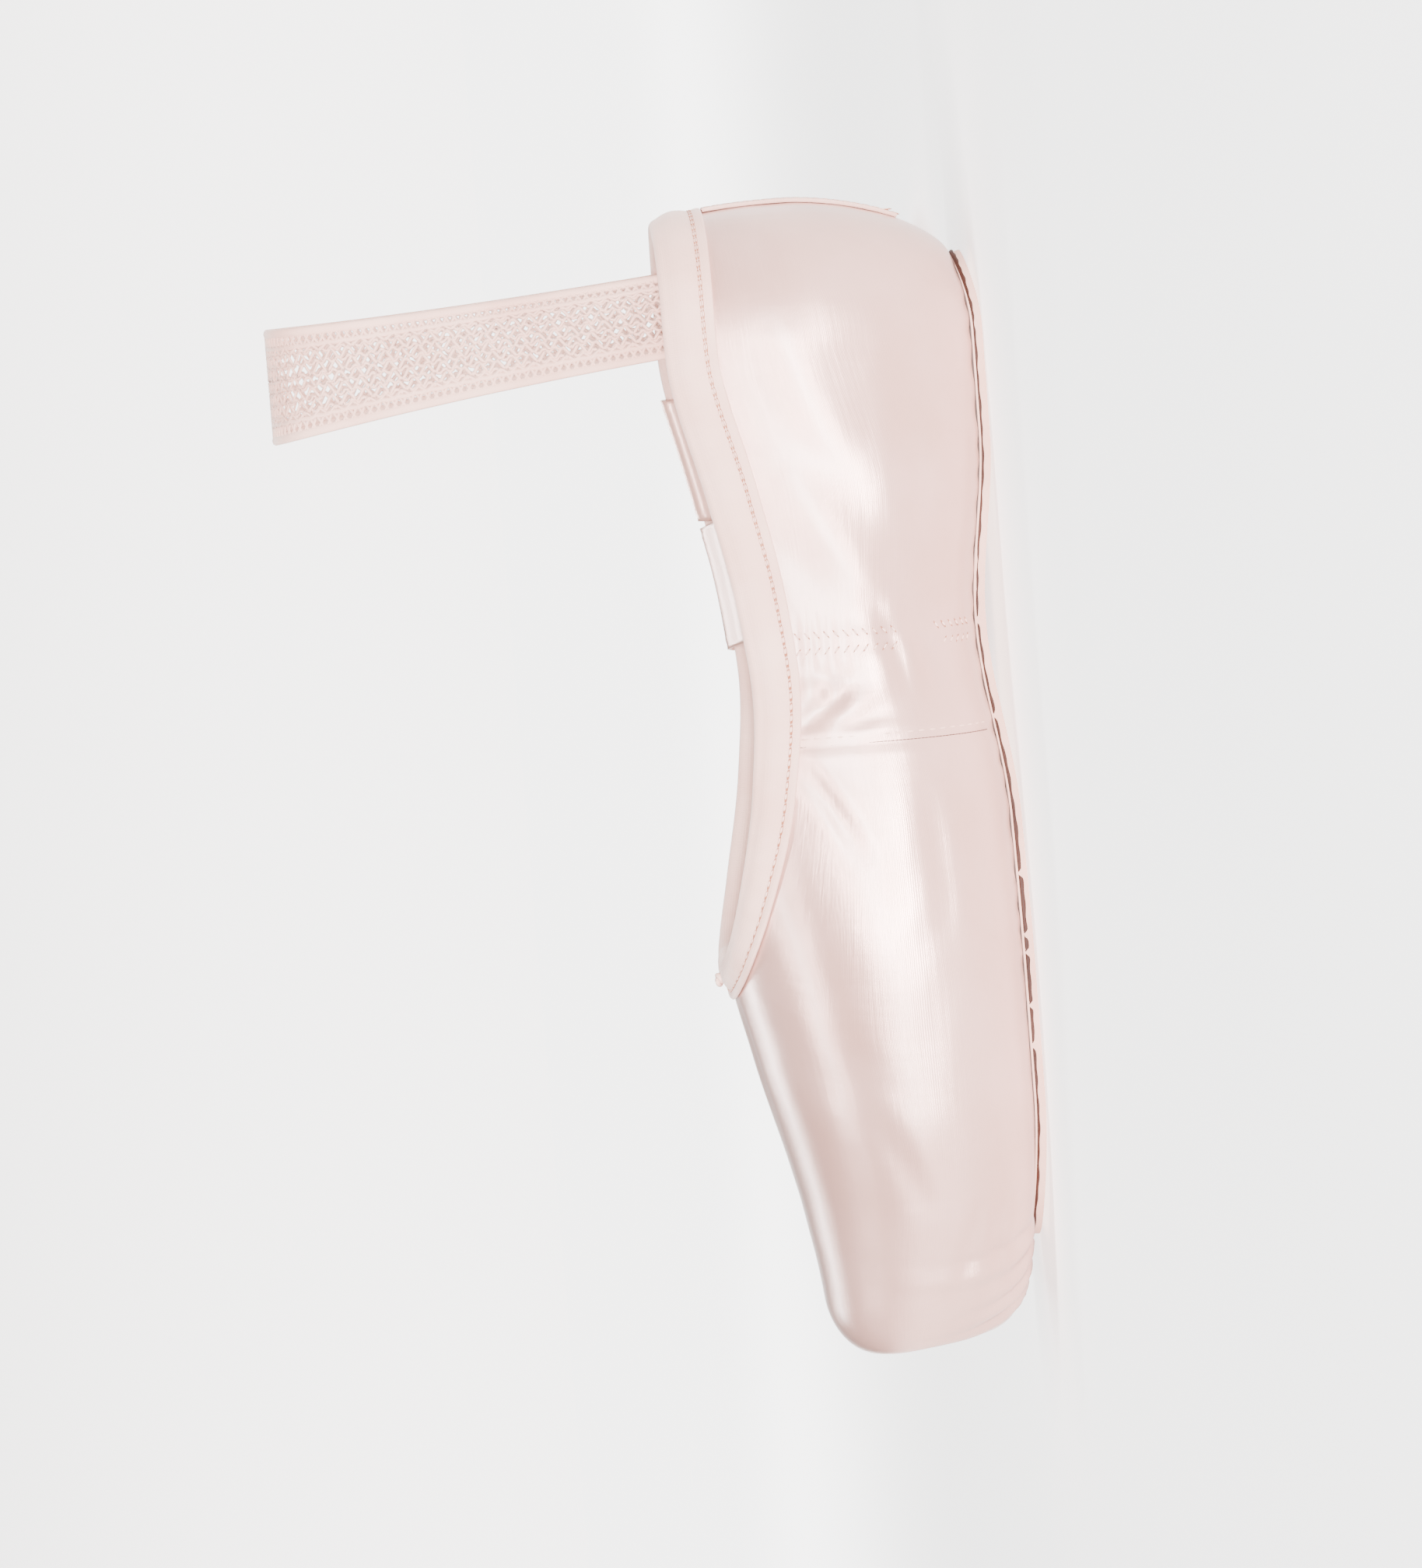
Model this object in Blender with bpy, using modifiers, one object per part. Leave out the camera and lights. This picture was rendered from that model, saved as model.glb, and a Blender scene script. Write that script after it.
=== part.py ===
"""A pointe shoe, standing empty and unbent on its outsole.

The toe points along +X, +Z is up and the origin is on the floor under the middle of the shoe.
One surface, worked out from the sizes below, gives the upper, and every piece that lies on it,
in it or under it takes its place from that same surface.
"""

import math
from collections import namedtuple

import bmesh
import bpy
from mathutils import Vector

MM = 0.001

# The last
LENGTH = 230 * MM
BALL_WIDTH = 82 * MM
WAIST_WIDTH = 64 * MM
HEEL_WIDTH = 58 * MM
TIP_WIDTH = 55 * MM
VAMP_LENGTH = 79 * MM
EDGE_DEPTH = 11 * MM
EDGE_SIDE = 3.2 * MM
EDGE_TOP = 8 * MM
TOE_RAKE = 4 * MM
RAKE_LENGTH = 26 * MM

# Heights over the floor
THROAT_HEIGHT = 60 * MM
TIP_HEIGHT = 42.5 * MM
WAIST_COLLAR = 49.5 * MM
HEEL_COLLAR = 62 * MM
ARCH_RISE = 3.5 * MM
TOE_SPRING = 4.5 * MM
HEEL_SPRING = 5 * MM

# Walls and clearances
WALL = 1.6 * MM
BOX_WALL = 2.8 * MM
GAP = 0.3 * MM
INSIDE_GAP = 0.6 * MM
TURN_IN = 5 * MM

# Outsole and insole
SOLE_THICK = 2.2 * MM
SOLE_BALL_WIDTH = 54 * MM
SOLE_WAIST_WIDTH = 27 * MM
SOLE_HEEL_WIDTH = 35 * MM
SOLE_TIP_SETBACK = 20 * MM
SOLE_EDGE_BEVEL = 0.5 * MM
INSOLE_THICK = 1.4 * MM
INSOLE_SETBACK = 24 * MM
INSOLE_TURN_UP = 0.45

# Binding, heel tape, elastic and ribbons
BINDING_WIDTH = 8.5 * MM
BINDING_THROAT_WIDTH = 6.5 * MM
BINDING_THICK = 0.8 * MM
BINDING_CROWN = 1.2 * MM
BINDING_JOIN = 1.3 * MM
BINDING_JOIN_LENGTH = 9 * MM
TAPE_WIDTH = 6.5 * MM
TAPE_THICK = 0.7 * MM
TAPE_END = 14 * MM
ELASTIC_WIDTH = 23 * MM
ELASTIC_THICK = 0.8 * MM
ELASTIC_PLACE = 22 * MM
ELASTIC_RISE = 79 * MM
ELASTIC_ANKLE = 58 * MM
ELASTIC_LEAN = 10 * MM
SEWN_DEPTH = 13 * MM
RIBBON_WIDTH = 25 * MM
RIBBON_THICK = 0.6 * MM
RIBBON_CLEAR = 0.8 * MM

HEEL_CENTRE = HEEL_WIDTH / 2
UNDERSIDE = SOLE_THICK + GAP
THROAT = LENGTH - VAMP_LENGTH
TIP = LENGTH - EDGE_DEPTH
SOLE_TIP = LENGTH - SOLE_TIP_SETBACK
BACK = HEEL_CENTRE - HEEL_CENTRE * math.pi / 2
MIDDLE = (LENGTH - GAP - TAPE_THICK) / 2
RAKE_TOP = TIP_HEIGHT - EDGE_TOP

# One row for each section of the last. place is counted from the back of the heel; half_width is
# the widest half width and feather the half width where the flat underside ends; widest and crown
# are heights. Behind the throat the crown is where the section would close. low_square and
# top_square say how full the lower and upper curves are, 2 for an ellipse.
Section = namedtuple("Section", "place half_width feather widest crown low_square top_square")
SECTIONS = (
    Section(HEEL_CENTRE, 0.500 * HEEL_WIDTH, 0.48 * SOLE_HEEL_WIDTH, 0.54 * THROAT_HEIGHT,
            1.34 * THROAT_HEIGHT, 1.75, 2.5),
    Section(0.26 * LENGTH, 0.490 * WAIST_WIDTH, 0.55 * SOLE_WAIST_WIDTH, 0.44 * THROAT_HEIGHT,
            1.26 * THROAT_HEIGHT, 2.0, 2.6),
    Section(0.39 * LENGTH, 0.510 * WAIST_WIDTH, 0.50 * SOLE_WAIST_WIDTH, 0.41 * THROAT_HEIGHT,
            1.16 * THROAT_HEIGHT, 2.0, 2.7),
    Section(0.52 * LENGTH, 0.455 * BALL_WIDTH, 0.37 * SOLE_BALL_WIDTH, 0.39 * THROAT_HEIGHT,
            1.10 * THROAT_HEIGHT, 2.1, 2.8),
    Section(THROAT, 0.500 * BALL_WIDTH, 0.49 * SOLE_BALL_WIDTH, 0.38 * THROAT_HEIGHT,
            1.00 * THROAT_HEIGHT, 2.2, 2.6),
    Section(THROAT + 0.33 * VAMP_LENGTH, 0.476 * BALL_WIDTH, 0.48 * SOLE_BALL_WIDTH,
            0.37 * THROAT_HEIGHT, 0.905 * THROAT_HEIGHT, 2.3, 2.5),
    Section(THROAT + 0.62 * VAMP_LENGTH, 0.412 * BALL_WIDTH, 0.40 * SOLE_BALL_WIDTH,
            0.36 * THROAT_HEIGHT, 1.12 * TIP_HEIGHT, 2.3, 2.5),
    Section(TIP, 0.500 * TIP_WIDTH, 0.31 * SOLE_BALL_WIDTH, 0.53 * TIP_HEIGHT,
            1.00 * TIP_HEIGHT, 2.4, 2.6),
)

# The collar's height, seen from the side. Behind HEEL_CENTRE the place runs round the heel.
Edge = namedtuple("Edge", "place height")
COLLAR = (
    Edge(BACK, HEEL_COLLAR),
    Edge(HEEL_CENTRE, 0.985 * HEEL_COLLAR),
    Edge(0.25 * LENGTH, 0.89 * HEEL_COLLAR),
    Edge(0.34 * LENGTH, 1.035 * WAIST_COLLAR),
    Edge(0.42 * LENGTH, WAIST_COLLAR),
    Edge(0.50 * LENGTH, 0.855 * THROAT_HEIGHT),
    Edge(0.59 * LENGTH, 0.930 * THROAT_HEIGHT),
    Edge(THROAT, THROAT_HEIGHT),
)

# How far the underside rises from the floor's plane.
Rise = namedtuple("Rise", "place height")
RISES = (
    Rise(0, HEEL_SPRING),
    Rise(0.12 * LENGTH, 0),
    Rise(0.21 * LENGTH, 0),
    Rise(0.37 * LENGTH, ARCH_RISE),
    Rise(0.54 * LENGTH, 0),
    Rise(0.78 * LENGTH, 0),
    Rise(0.90 * LENGTH, 0.32 * TOE_SPRING),
    Rise(LENGTH, TOE_SPRING),
)

# The ribbons' stretches over the collar, from their sewn ends. side is 1 at the inner rim and -1 at
# the outer one, with a sag between them; out and up are counted from the rim, square to the wall
# and along it.
INSIDE = -(WALL + INSIDE_GAP + BINDING_THICK + RIBBON_CLEAR)
OUTSIDE = GAP + BINDING_THICK + RIBBON_CLEAR
OVER = GAP + BINDING_CROWN + BINDING_THICK + RIBBON_CLEAR
Lap = namedtuple("Lap", "x side out up")
INNER_LAPS = (
    Lap(-50.0 * MM, 1.00, INSIDE, -SEWN_DEPTH),
    Lap(-50.0 * MM, 1.00, INSIDE, -0.55 * SEWN_DEPTH),
    Lap(-50.0 * MM, 1.00, INSIDE, -0.15 * SEWN_DEPTH),
    Lap(-49.6 * MM, 0.92, 0.6 * INSIDE, 0.7 * OVER),
    Lap(-48.4 * MM, 0.74, 0, OVER),
    Lap(-46.2 * MM, 0.42, 0, OVER),
    Lap(-43.6 * MM, 0.00, 0, OVER),
    Lap(-41.0 * MM, -0.42, 0, OVER),
    Lap(-39.0 * MM, -0.74, 0, OVER),
    Lap(-38.0 * MM, -0.92, 0, 1.1 * OVER),
    Lap(-37.4 * MM, -1.00, 0.4 * OUTSIDE, 1.05 * OVER),
    Lap(-37.0 * MM, -1.00, 1.1 * OUTSIDE, 0.45 * OVER),
    Lap(-36.6 * MM, -1.00, 1.1 * OUTSIDE, -0.3 * SEWN_DEPTH),
    Lap(-36.0 * MM, -1.00, 1.1 * OUTSIDE, -0.8 * SEWN_DEPTH),
)
OUTER_LAPS = (
    Lap(-64.0 * MM, -1, INSIDE, -SEWN_DEPTH),
    Lap(-64.0 * MM, -1, INSIDE, -0.55 * SEWN_DEPTH),
    Lap(-64.0 * MM, -1, INSIDE, -0.1 * SEWN_DEPTH),
    Lap(-64.0 * MM, -1, 0.95 * INSIDE, 0.5 * OVER),
    Lap(-64.1 * MM, -1, 0.25 * INSIDE, 1.15 * OVER),
    Lap(-64.2 * MM, -1, 0.95 * OUTSIDE, 0.6 * OVER),
    Lap(-64.4 * MM, -1, 1.1 * OUTSIDE, -0.15 * SEWN_DEPTH),
    Lap(-64.8 * MM, -1, 1.1 * OUTSIDE, -0.6 * SEWN_DEPTH),
    Lap(-65.4 * MM, -1, 1.1 * OUTSIDE, -1.1 * SEWN_DEPTH),
)

# Each ribbon's middle line beyond the collar, in millimetres. lean turns the ribbon's flat about
# its own line, in degrees, where it lies in soft waves on the floor.
Point = namedtuple("Point", "x y z lean")
INNER_RIBBON = (
    Point(-34.5, -36.5, 27, 0), Point(-33.0, -37.4, 18, 0), Point(-31.0, -40.6, 9.5, 0),
    Point(-28.0, -48.0, 3.4, 0), Point(-24.0, -59.0, 1.2, 0), Point(-17.0, -73.0, 0.9, 0),
    Point(-7.0, -92.0, 2.2, 6), Point(6.0, -112.0, 4.4, 14), Point(21.0, -132.0, 4.6, 16),
    Point(38.0, -151.0, 2.6, 8), Point(55.0, -170.0, 1.1, 0), Point(69.0, -191.0, 2.0, -6),
    Point(78.0, -215.0, 4.0, -14), Point(81.0, -240.0, 4.6, -16), Point(77.0, -265.0, 3.8, -12),
    Point(66.0, -288.0, 2.2, -6), Point(49.0, -307.0, 1.0, 0), Point(28.0, -322.0, 1.4, 3),
    Point(5.0, -333.0, 2.2, 6), Point(-19.0, -341.0, 1.8, 4), Point(-44.0, -347.0, 0.9, 0),
)
OUTER_RIBBON = (
    Point(-66.6, -37.0, 25, 0), Point(-68.0, -38.8, 15.5, 0), Point(-70.0, -43.5, 7, 0),
    Point(-73.0, -52.0, 2.2, 0), Point(-77.5, -65.0, 0.9, 0), Point(-83.5, -82.0, 2.0, -6),
    Point(-90.0, -102.0, 4.2, -14), Point(-94.5, -124.0, 5.0, -18), Point(-95.5, -147.0, 4.8, -16),
    Point(-92.5, -170.0, 3.2, -10), Point(-86.0, -193.0, 1.2, -2), Point(-78.0, -216.0, 1.6, 4),
    Point(-70.5, -239.0, 3.4, 12), Point(-65.0, -263.0, 4.4, 16), Point(-63.0, -288.0, 3.8, 12),
    Point(-65.0, -313.0, 2.0, 6), Point(-70.5, -338.0, 0.9, 0), Point(-78.0, -362.0, 1.2, 2),
    Point(-86.0, -386.0, 1.6, 3), Point(-92.0, -410.0, 1.0, 0), Point(-95.0, -434.0, 0.9, 0),
)
FLOOR_GAP = 0.9 * MM
SAG = 6 * MM

STATIONS_HEEL = 9
STATIONS_QUARTER = 11
STATIONS_THROAT = 8
STATIONS_VAMP = 8
STATIONS_EDGE = 4
PLATFORM_RINGS = (0.6,)
ROWS_UNDER = 2
ROWS_LOW = 5
ROWS_HIGH = 8
STEP = 0.2 * MM


def smooth_value(rows, column, place):
    """Reads a column of a table at a place, on a curve through its rows that never overshoots."""
    places = [row.place for row in rows]
    values = [getattr(row, column) for row in rows]
    if place <= places[0]:
        return values[0]
    if place >= places[-1]:
        return values[-1]
    count = len(rows)
    slopes = [(values[k + 1] - values[k]) / (places[k + 1] - places[k]) for k in range(count - 1)]
    turns = [0.0] * count
    for k in range(1, count - 1):
        if slopes[k - 1] * slopes[k] > 0:
            turns[k] = 2 * slopes[k - 1] * slopes[k] / (slopes[k - 1] + slopes[k])
    turns[0], turns[-1] = slopes[0], slopes[-1]
    k = max(k for k in range(count - 1) if places[k] <= place)
    span = places[k + 1] - places[k]
    s = (place - places[k]) / span
    return (values[k] * (1 + 2 * s) * (1 - s) ** 2 + turns[k] * span * s * (1 - s) ** 2
            + values[k + 1] * (3 - 2 * s) * s ** 2 - turns[k + 1] * span * (1 - s) * s ** 2)


def ease(share):
    """A share from 0 to 1 that starts and stops softly."""
    share = min(1.0, max(0.0, share))
    return share * share * (3 - 2 * share)


def rise(place):
    """How far the shoe's underside lies over the floor's plane."""
    return smooth_value(RISES, "height", place)


def section_point(place, turn):
    """A point of the section at a place, as (half width, height over the underside's plane).

    turn runs from 0 at the middle of the underside, over 1 at the feather edge and 2 at the widest
    point, to 3 at the crown.
    """
    wide = smooth_value(SECTIONS, "half_width", place)
    feather = smooth_value(SECTIONS, "feather", place)
    widest = smooth_value(SECTIONS, "widest", place)
    crown = smooth_value(SECTIONS, "crown", place)
    if turn <= 1:
        return feather * turn, UNDERSIDE
    if turn <= 2:
        angle = (turn - 1) * math.pi / 2
        power = 2 / smooth_value(SECTIONS, "low_square", place)
        return (feather + (wide - feather) * math.sin(angle) ** power,
                widest - (widest - UNDERSIDE) * max(0.0, math.cos(angle)) ** power)
    angle = min(turn - 2, 1.0) * math.pi / 2
    power = 2 / smooth_value(SECTIONS, "top_square", place)
    return (wide * max(0.0, math.cos(angle)) ** power,
            widest + (crown - widest) * math.sin(angle) ** power)


def surface(place, turn, ring=1.0):
    """A point of the upper's outer surface.

    Behind HEEL_CENTRE the section swings round the heel, and past TIP it rounds over into the
    platform. ring shrinks the last section towards the middle of the platform.
    """
    if place < HEEL_CENTRE:
        reach, height = section_point(HEEL_CENTRE, turn)
        swing = (HEEL_CENTRE - place) / HEEL_CENTRE
        along = HEEL_CENTRE - reach * math.sin(swing)
        return Vector((along - MIDDLE, reach * math.cos(swing), height + rise(along)))
    reach, height = section_point(min(place, TIP), turn)
    forward = place
    if place > TIP:
        swing = min(math.pi / 2, (place - TIP) / EDGE_DEPTH)
        forward = TIP + EDGE_DEPTH * math.sin(swing)
        before_reach, before_height = section_point(TIP - EDGE_DEPTH, turn)
        reach += (reach - before_reach) * math.sin(swing)
        height += (height - before_height) * math.sin(swing)
        half_height = (TIP_HEIGHT - UNDERSIDE) / 2
        middle = UNDERSIDE + half_height
        shrink = 1 - math.cos(swing)
        reach *= ring * (1 - EDGE_SIDE * shrink / (TIP_WIDTH / 2))
        height = middle + (height - middle) * ring * (1 - EDGE_TOP * shrink / half_height)
    lean = ease((place - TIP + RAKE_LENGTH) / RAKE_LENGTH)
    rake = TOE_RAKE * lean * (RAKE_TOP - height) / (RAKE_TOP - UNDERSIDE)
    return Vector((forward - rake - MIDDLE, reach, height + rise(forward)))

def surface_normal(place, turn):
    """The outward direction of the surface there."""
    back, ahead = place - STEP, place + STEP
    low, high = max(0.0, turn - 0.02), min(3.0, turn + 0.02)
    if turn >= 3.0:
        across = Vector((0, -1, 0))
    else:
        across = surface(place, high) - surface(place, low)
    along = surface(ahead, turn) - surface(back, turn)
    return across.cross(along).normalized()

def collar_turn(place):
    """The turn at which the collar crosses the section at that place."""
    if place >= THROAT:
        return 3.0
    height = smooth_value(COLLAR, "height", place)
    section = max(place, HEEL_CENTRE)
    widest = smooth_value(SECTIONS, "widest", section)
    crown = smooth_value(SECTIONS, "crown", section)
    power = smooth_value(SECTIONS, "top_square", section) / 2
    swing = (section - place) / HEEL_CENTRE
    lift = rise(section - HEEL_CENTRE * math.sin(swing))
    share = min(1.0, max(0.0, (height - lift - widest) / (crown - widest)))
    return 2 + math.asin(share ** power) / (math.pi / 2)


def walk(place, turn, heading, distance):
    """Walks over the surface from a point in a heading, and gives the place and turn reached."""
    steps = max(1, round(distance / (1 * MM)))
    point = surface(place, turn)
    for step in range(steps):
        along = (surface(place + STEP, turn) - surface(place - STEP, turn)) / (2 * STEP)
        if turn > 2.98:
            across = (surface(place, 2.94) - surface(place, 2.98)) / -0.04
            across = Vector((0, across.y, 0))
        else:
            across = (surface(place, turn + 0.02) - surface(place, turn - 0.02)) / 0.04
        normal = across.cross(along).normalized()
        flat = (heading - normal * heading.dot(normal)).normalized() * (distance / steps)
        aa, ab, bb = along.dot(along), along.dot(across), across.dot(across)
        fa, fb = flat.dot(along), flat.dot(across)
        det = aa * bb - ab * ab
        place += (fa * bb - fb * ab) / det
        turn = min(3.0, turn + (fb * aa - fa * ab) / det)
        heading = surface(place, turn) - point + heading * 1e-4
        point = surface(place, turn)
    return place, turn


def station_list():
    """The stations along the upper, as (place of the lower rows, place of the top row, ring)."""
    stations = []
    for k in range(STATIONS_HEEL):
        place = BACK + (HEEL_CENTRE - BACK) * k / STATIONS_HEEL
        stations.append((place, place, 1.0))
    quarter_end = THROAT - 0.45 * VAMP_LENGTH
    for k in range(STATIONS_QUARTER):
        place = HEEL_CENTRE + (quarter_end - HEEL_CENTRE) * k / STATIONS_QUARTER
        stations.append((place, place, 1.0))
    side_end = THROAT + 0.17 * VAMP_LENGTH
    for k in range(STATIONS_THROAT):
        share = k / STATIONS_THROAT
        edge = THROAT - (THROAT - quarter_end) * (1 - share) ** 2
        stations.append((quarter_end + (side_end - quarter_end) * share, edge, 1.0))
    for k in range(STATIONS_VAMP):
        share = k / STATIONS_VAMP
        stations.append((side_end + (TIP - side_end) * share, THROAT + (TIP - THROAT) * share, 1.0))
    for k in range(STATIONS_EDGE + 1):
        place = TIP + EDGE_DEPTH * math.pi / 2 * k / STATIONS_EDGE
        stations.append((place, place, 1.0))
    for ring in PLATFORM_RINGS:
        stations.append((place, place, ring))
    return stations


def opening_half_width(place):
    """The half width of the hole under the foot, which the outsole closes."""
    feather = smooth_value(SECTIONS, "feather", max(place, HEEL_CENTRE))
    full = feather - TURN_IN
    end = SOLE_TIP - 2 * TURN_IN
    start = end - 3 * TURN_IN
    if place >= end:
        return 0.0
    return full * math.sqrt(1 - max(0.0, (place - start) / (end - start)) ** 2)


def row_turns(side, edge):
    """The turn of each row at a station, and how far each row has moved to the top row's place."""
    feather = smooth_value(SECTIONS, "feather", max(side, HEEL_CENTRE))
    start = opening_half_width(side) / feather
    top = collar_turn(edge)
    rows = [(start + (1 - start) * k / ROWS_UNDER, 0.0) for k in range(ROWS_UNDER)]
    rows += [(1 + k / ROWS_LOW, 0.0) for k in range(ROWS_LOW)]
    rows += [(2 + (top - 2) * k / ROWS_HIGH, ease(k / ROWS_HIGH)) for k in range(ROWS_HIGH + 1)]
    return rows


def grid_mesh(name, grid, close_at=None):
    """A mesh from rows of points: faces between neighbours, and a fan to close_at if it is given."""
    mesh = bpy.data.meshes.new(name)
    work = bmesh.new()
    verts = [[work.verts.new(point) for point in line] for line in grid]
    for near, far in zip(verts, verts[1:]):
        for k in range(len(near) - 1):
            work.faces.new((near[k], near[k + 1], far[k + 1], far[k]))
    if close_at is not None:
        middle = work.verts.new(close_at)
        for low, high in zip(verts[-1], verts[-1][1:]):
            work.faces.new((low, high, middle))
    bmesh.ops.remove_doubles(work, verts=work.verts, dist=1e-6)
    bmesh.ops.recalc_face_normals(work, faces=work.faces)
    work.to_mesh(mesh)
    work.free()
    return mesh


def add_object(name, mesh, material, collection):
    """A smooth-shaded object of that mesh, in the shoe's collection."""
    obj = bpy.data.objects.new(name, mesh)
    collection.objects.link(obj)
    mesh.materials.append(material)
    mesh.shade_smooth()
    return obj


def add_mirror(obj):
    """Completes a half that is open at the shoe's middle plane."""
    mirror = obj.modifiers.new("Mirror", "MIRROR")
    mirror.use_axis = (False, True, False)
    mirror.use_clip = True
    mirror.merge_threshold = 0.00005


def add_wall(obj, thickness, offset):
    """Gives an open surface its thickness: offset -1 grows against its normals, 1 along them."""
    solidify = obj.modifiers.new("Wall", "SOLIDIFY")
    solidify.thickness = thickness
    solidify.offset = offset
    solidify.use_even_offset = True
    return solidify


def face_outwards(mesh, inwards_of):
    """Turns the faces so that they point away from a point inside the form."""
    total = 0.0
    for face in mesh.polygons:
        total += face.area * face.normal.dot(face.center - inwards_of)
    if total < 0:
        mesh.flip_normals()


def make_upper(material, collection):
    """The satin upper with its turned-in edge, toe box and platform: one hollow shell."""
    grid = []
    for side, edge, ring in station_list():
        line = []
        for turn, moved in row_turns(side, edge):
            line.append(surface(side + (edge - side) * moved, turn, ring))
        grid.append(line)
    mesh = grid_mesh("upper", grid, (grid[-1][0] + grid[-1][-1]) / 2)
    face_outwards(mesh, Vector((0, 0, THROAT_HEIGHT / 2)))
    for vertex in mesh.vertices:
        if abs(vertex.co.y) < 1e-6:
            vertex.co.y = 0
    obj = add_object("upper", mesh, material, collection)
    group = obj.vertex_groups.new(name="box_wall")
    for vertex in mesh.vertices:
        share = ease((vertex.co.x + MIDDLE - 0.6 * LENGTH) / (0.2 * LENGTH))
        group.add([vertex.index], share, "REPLACE")
    add_mirror(obj)
    wall = add_wall(obj, BOX_WALL, -1)
    wall.vertex_group = group.name
    wall.thickness_vertex_group = WALL / BOX_WALL
    return obj


def wall_at(place):
    """The upper's wall thickness at a place."""
    share = ease((place - 0.6 * LENGTH) / (0.2 * LENGTH))
    return WALL + (BOX_WALL - WALL) * share


def sole_outline(end, inset):
    """Stations of a flat piece under the foot, from the back of the heel, as (place, half width)."""
    outline = []
    for k in range(STATIONS_HEEL):
        place = BACK + (HEEL_CENTRE - BACK) * k / STATIONS_HEEL
        outline.append((place, smooth_value(SECTIONS, "feather", HEEL_CENTRE) - inset))
    nose = 0.55 * SOLE_BALL_WIDTH
    count = STATIONS_QUARTER + STATIONS_THROAT
    for k in range(count):
        place = HEEL_CENTRE + (end - nose - HEEL_CENTRE) * k / count
        outline.append((place, smooth_value(SECTIONS, "feather", place) - inset))
    for k in range(STATIONS_VAMP + 1):
        swing = math.pi / 2 * k / STATIONS_VAMP
        place = end - nose + nose * math.sin(swing)
        outline.append((place, (smooth_value(SECTIONS, "feather", place) - inset)
                        * max(0.0, math.cos(swing)) ** 0.8))
    return outline


def under_point(place, across, height):
    """A point under the foot: across from the middle line, at a height over the underside's rise."""
    if place < HEEL_CENTRE:
        swing = (HEEL_CENTRE - place) / HEEL_CENTRE
        along = HEEL_CENTRE - across * math.sin(swing)
        return Vector((along - MIDDLE, across * math.cos(swing), height + rise(along)))
    return Vector((place - MIDDLE, across, height + rise(place)))


def make_outsole(material, collection):
    """The thin leather outsole, narrow at the waist, with a rounded tip behind the platform."""
    grid = []
    for place, half in sole_outline(SOLE_TIP, 0):
        grid.append([under_point(place, half * share, 0) for share in (0.0, 0.4, 0.72, 1.0)])
    mesh = grid_mesh("outsole", grid)
    face_outwards(mesh, Vector((0, 0, LENGTH)))
    obj = add_object("outsole", mesh, material, collection)
    add_mirror(obj)
    add_wall(obj, SOLE_THICK, -1)
    bevel = obj.modifiers.new("Edge", "BEVEL")
    bevel.width = SOLE_EDGE_BEVEL
    bevel.segments = 1
    bevel.limit_method = "ANGLE"
    bevel.angle_limit = math.radians(50)
    return obj


def make_insole(material, collection):
    """The sock lining, which follows the upper's inside and turns up a little at its edges."""
    grid = []
    for place, half in sole_outline(LENGTH - INSOLE_SETBACK, 0):
        feather = smooth_value(SECTIONS, "feather", max(place, HEEL_CENTRE))
        reach = half / feather
        line = []
        for share in (0.0, 0.6, 1.0, 1.0 + INSOLE_TURN_UP / 2, 1.0 + INSOLE_TURN_UP):
            turn = share * reach
            sunk = wall_at(place) + INSIDE_GAP
            line.append(surface(place, turn) - surface_normal(place, turn) * sunk)
        grid.append(line)
    mesh = grid_mesh("insole", grid)
    for vertex in mesh.vertices:
        if abs(vertex.co.y) < 0.02 * MM:
            vertex.co.y = 0
    face_outwards(mesh, Vector((0, 0, LENGTH)))
    obj = add_object("insole", mesh, material, collection)
    add_mirror(obj)
    add_wall(obj, INSOLE_THICK, -1)
    return obj


def collar_stations():
    """The collar's edge from the back of the heel to the throat, as (place, turn)."""
    stations = [(edge, collar_turn(edge)) for side, edge, ring in station_list() if edge < THROAT]
    return stations + [(THROAT, 3.0)]


def collar_heading(stations, k):
    """The direction over the surface from the collar's edge, square to that edge."""
    place, turn = stations[k]
    here = surface(place, turn)
    mirrored = Vector((1, -1, 1))
    before = surface(*stations[k - 1]) if k else surface(*stations[1]) * mirrored
    after = surface(*stations[k + 1]) if k + 1 < len(stations) else surface(*stations[k - 1]) * mirrored
    edge = after - before
    normal = surface_normal(place, turn)
    heading = normal.cross(edge).normalized()
    inside = surface(place, turn - 0.05) - here if turn < 3.0 else Vector((1, 0, 0))
    return heading if heading.dot(inside) > 0 else -heading


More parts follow.
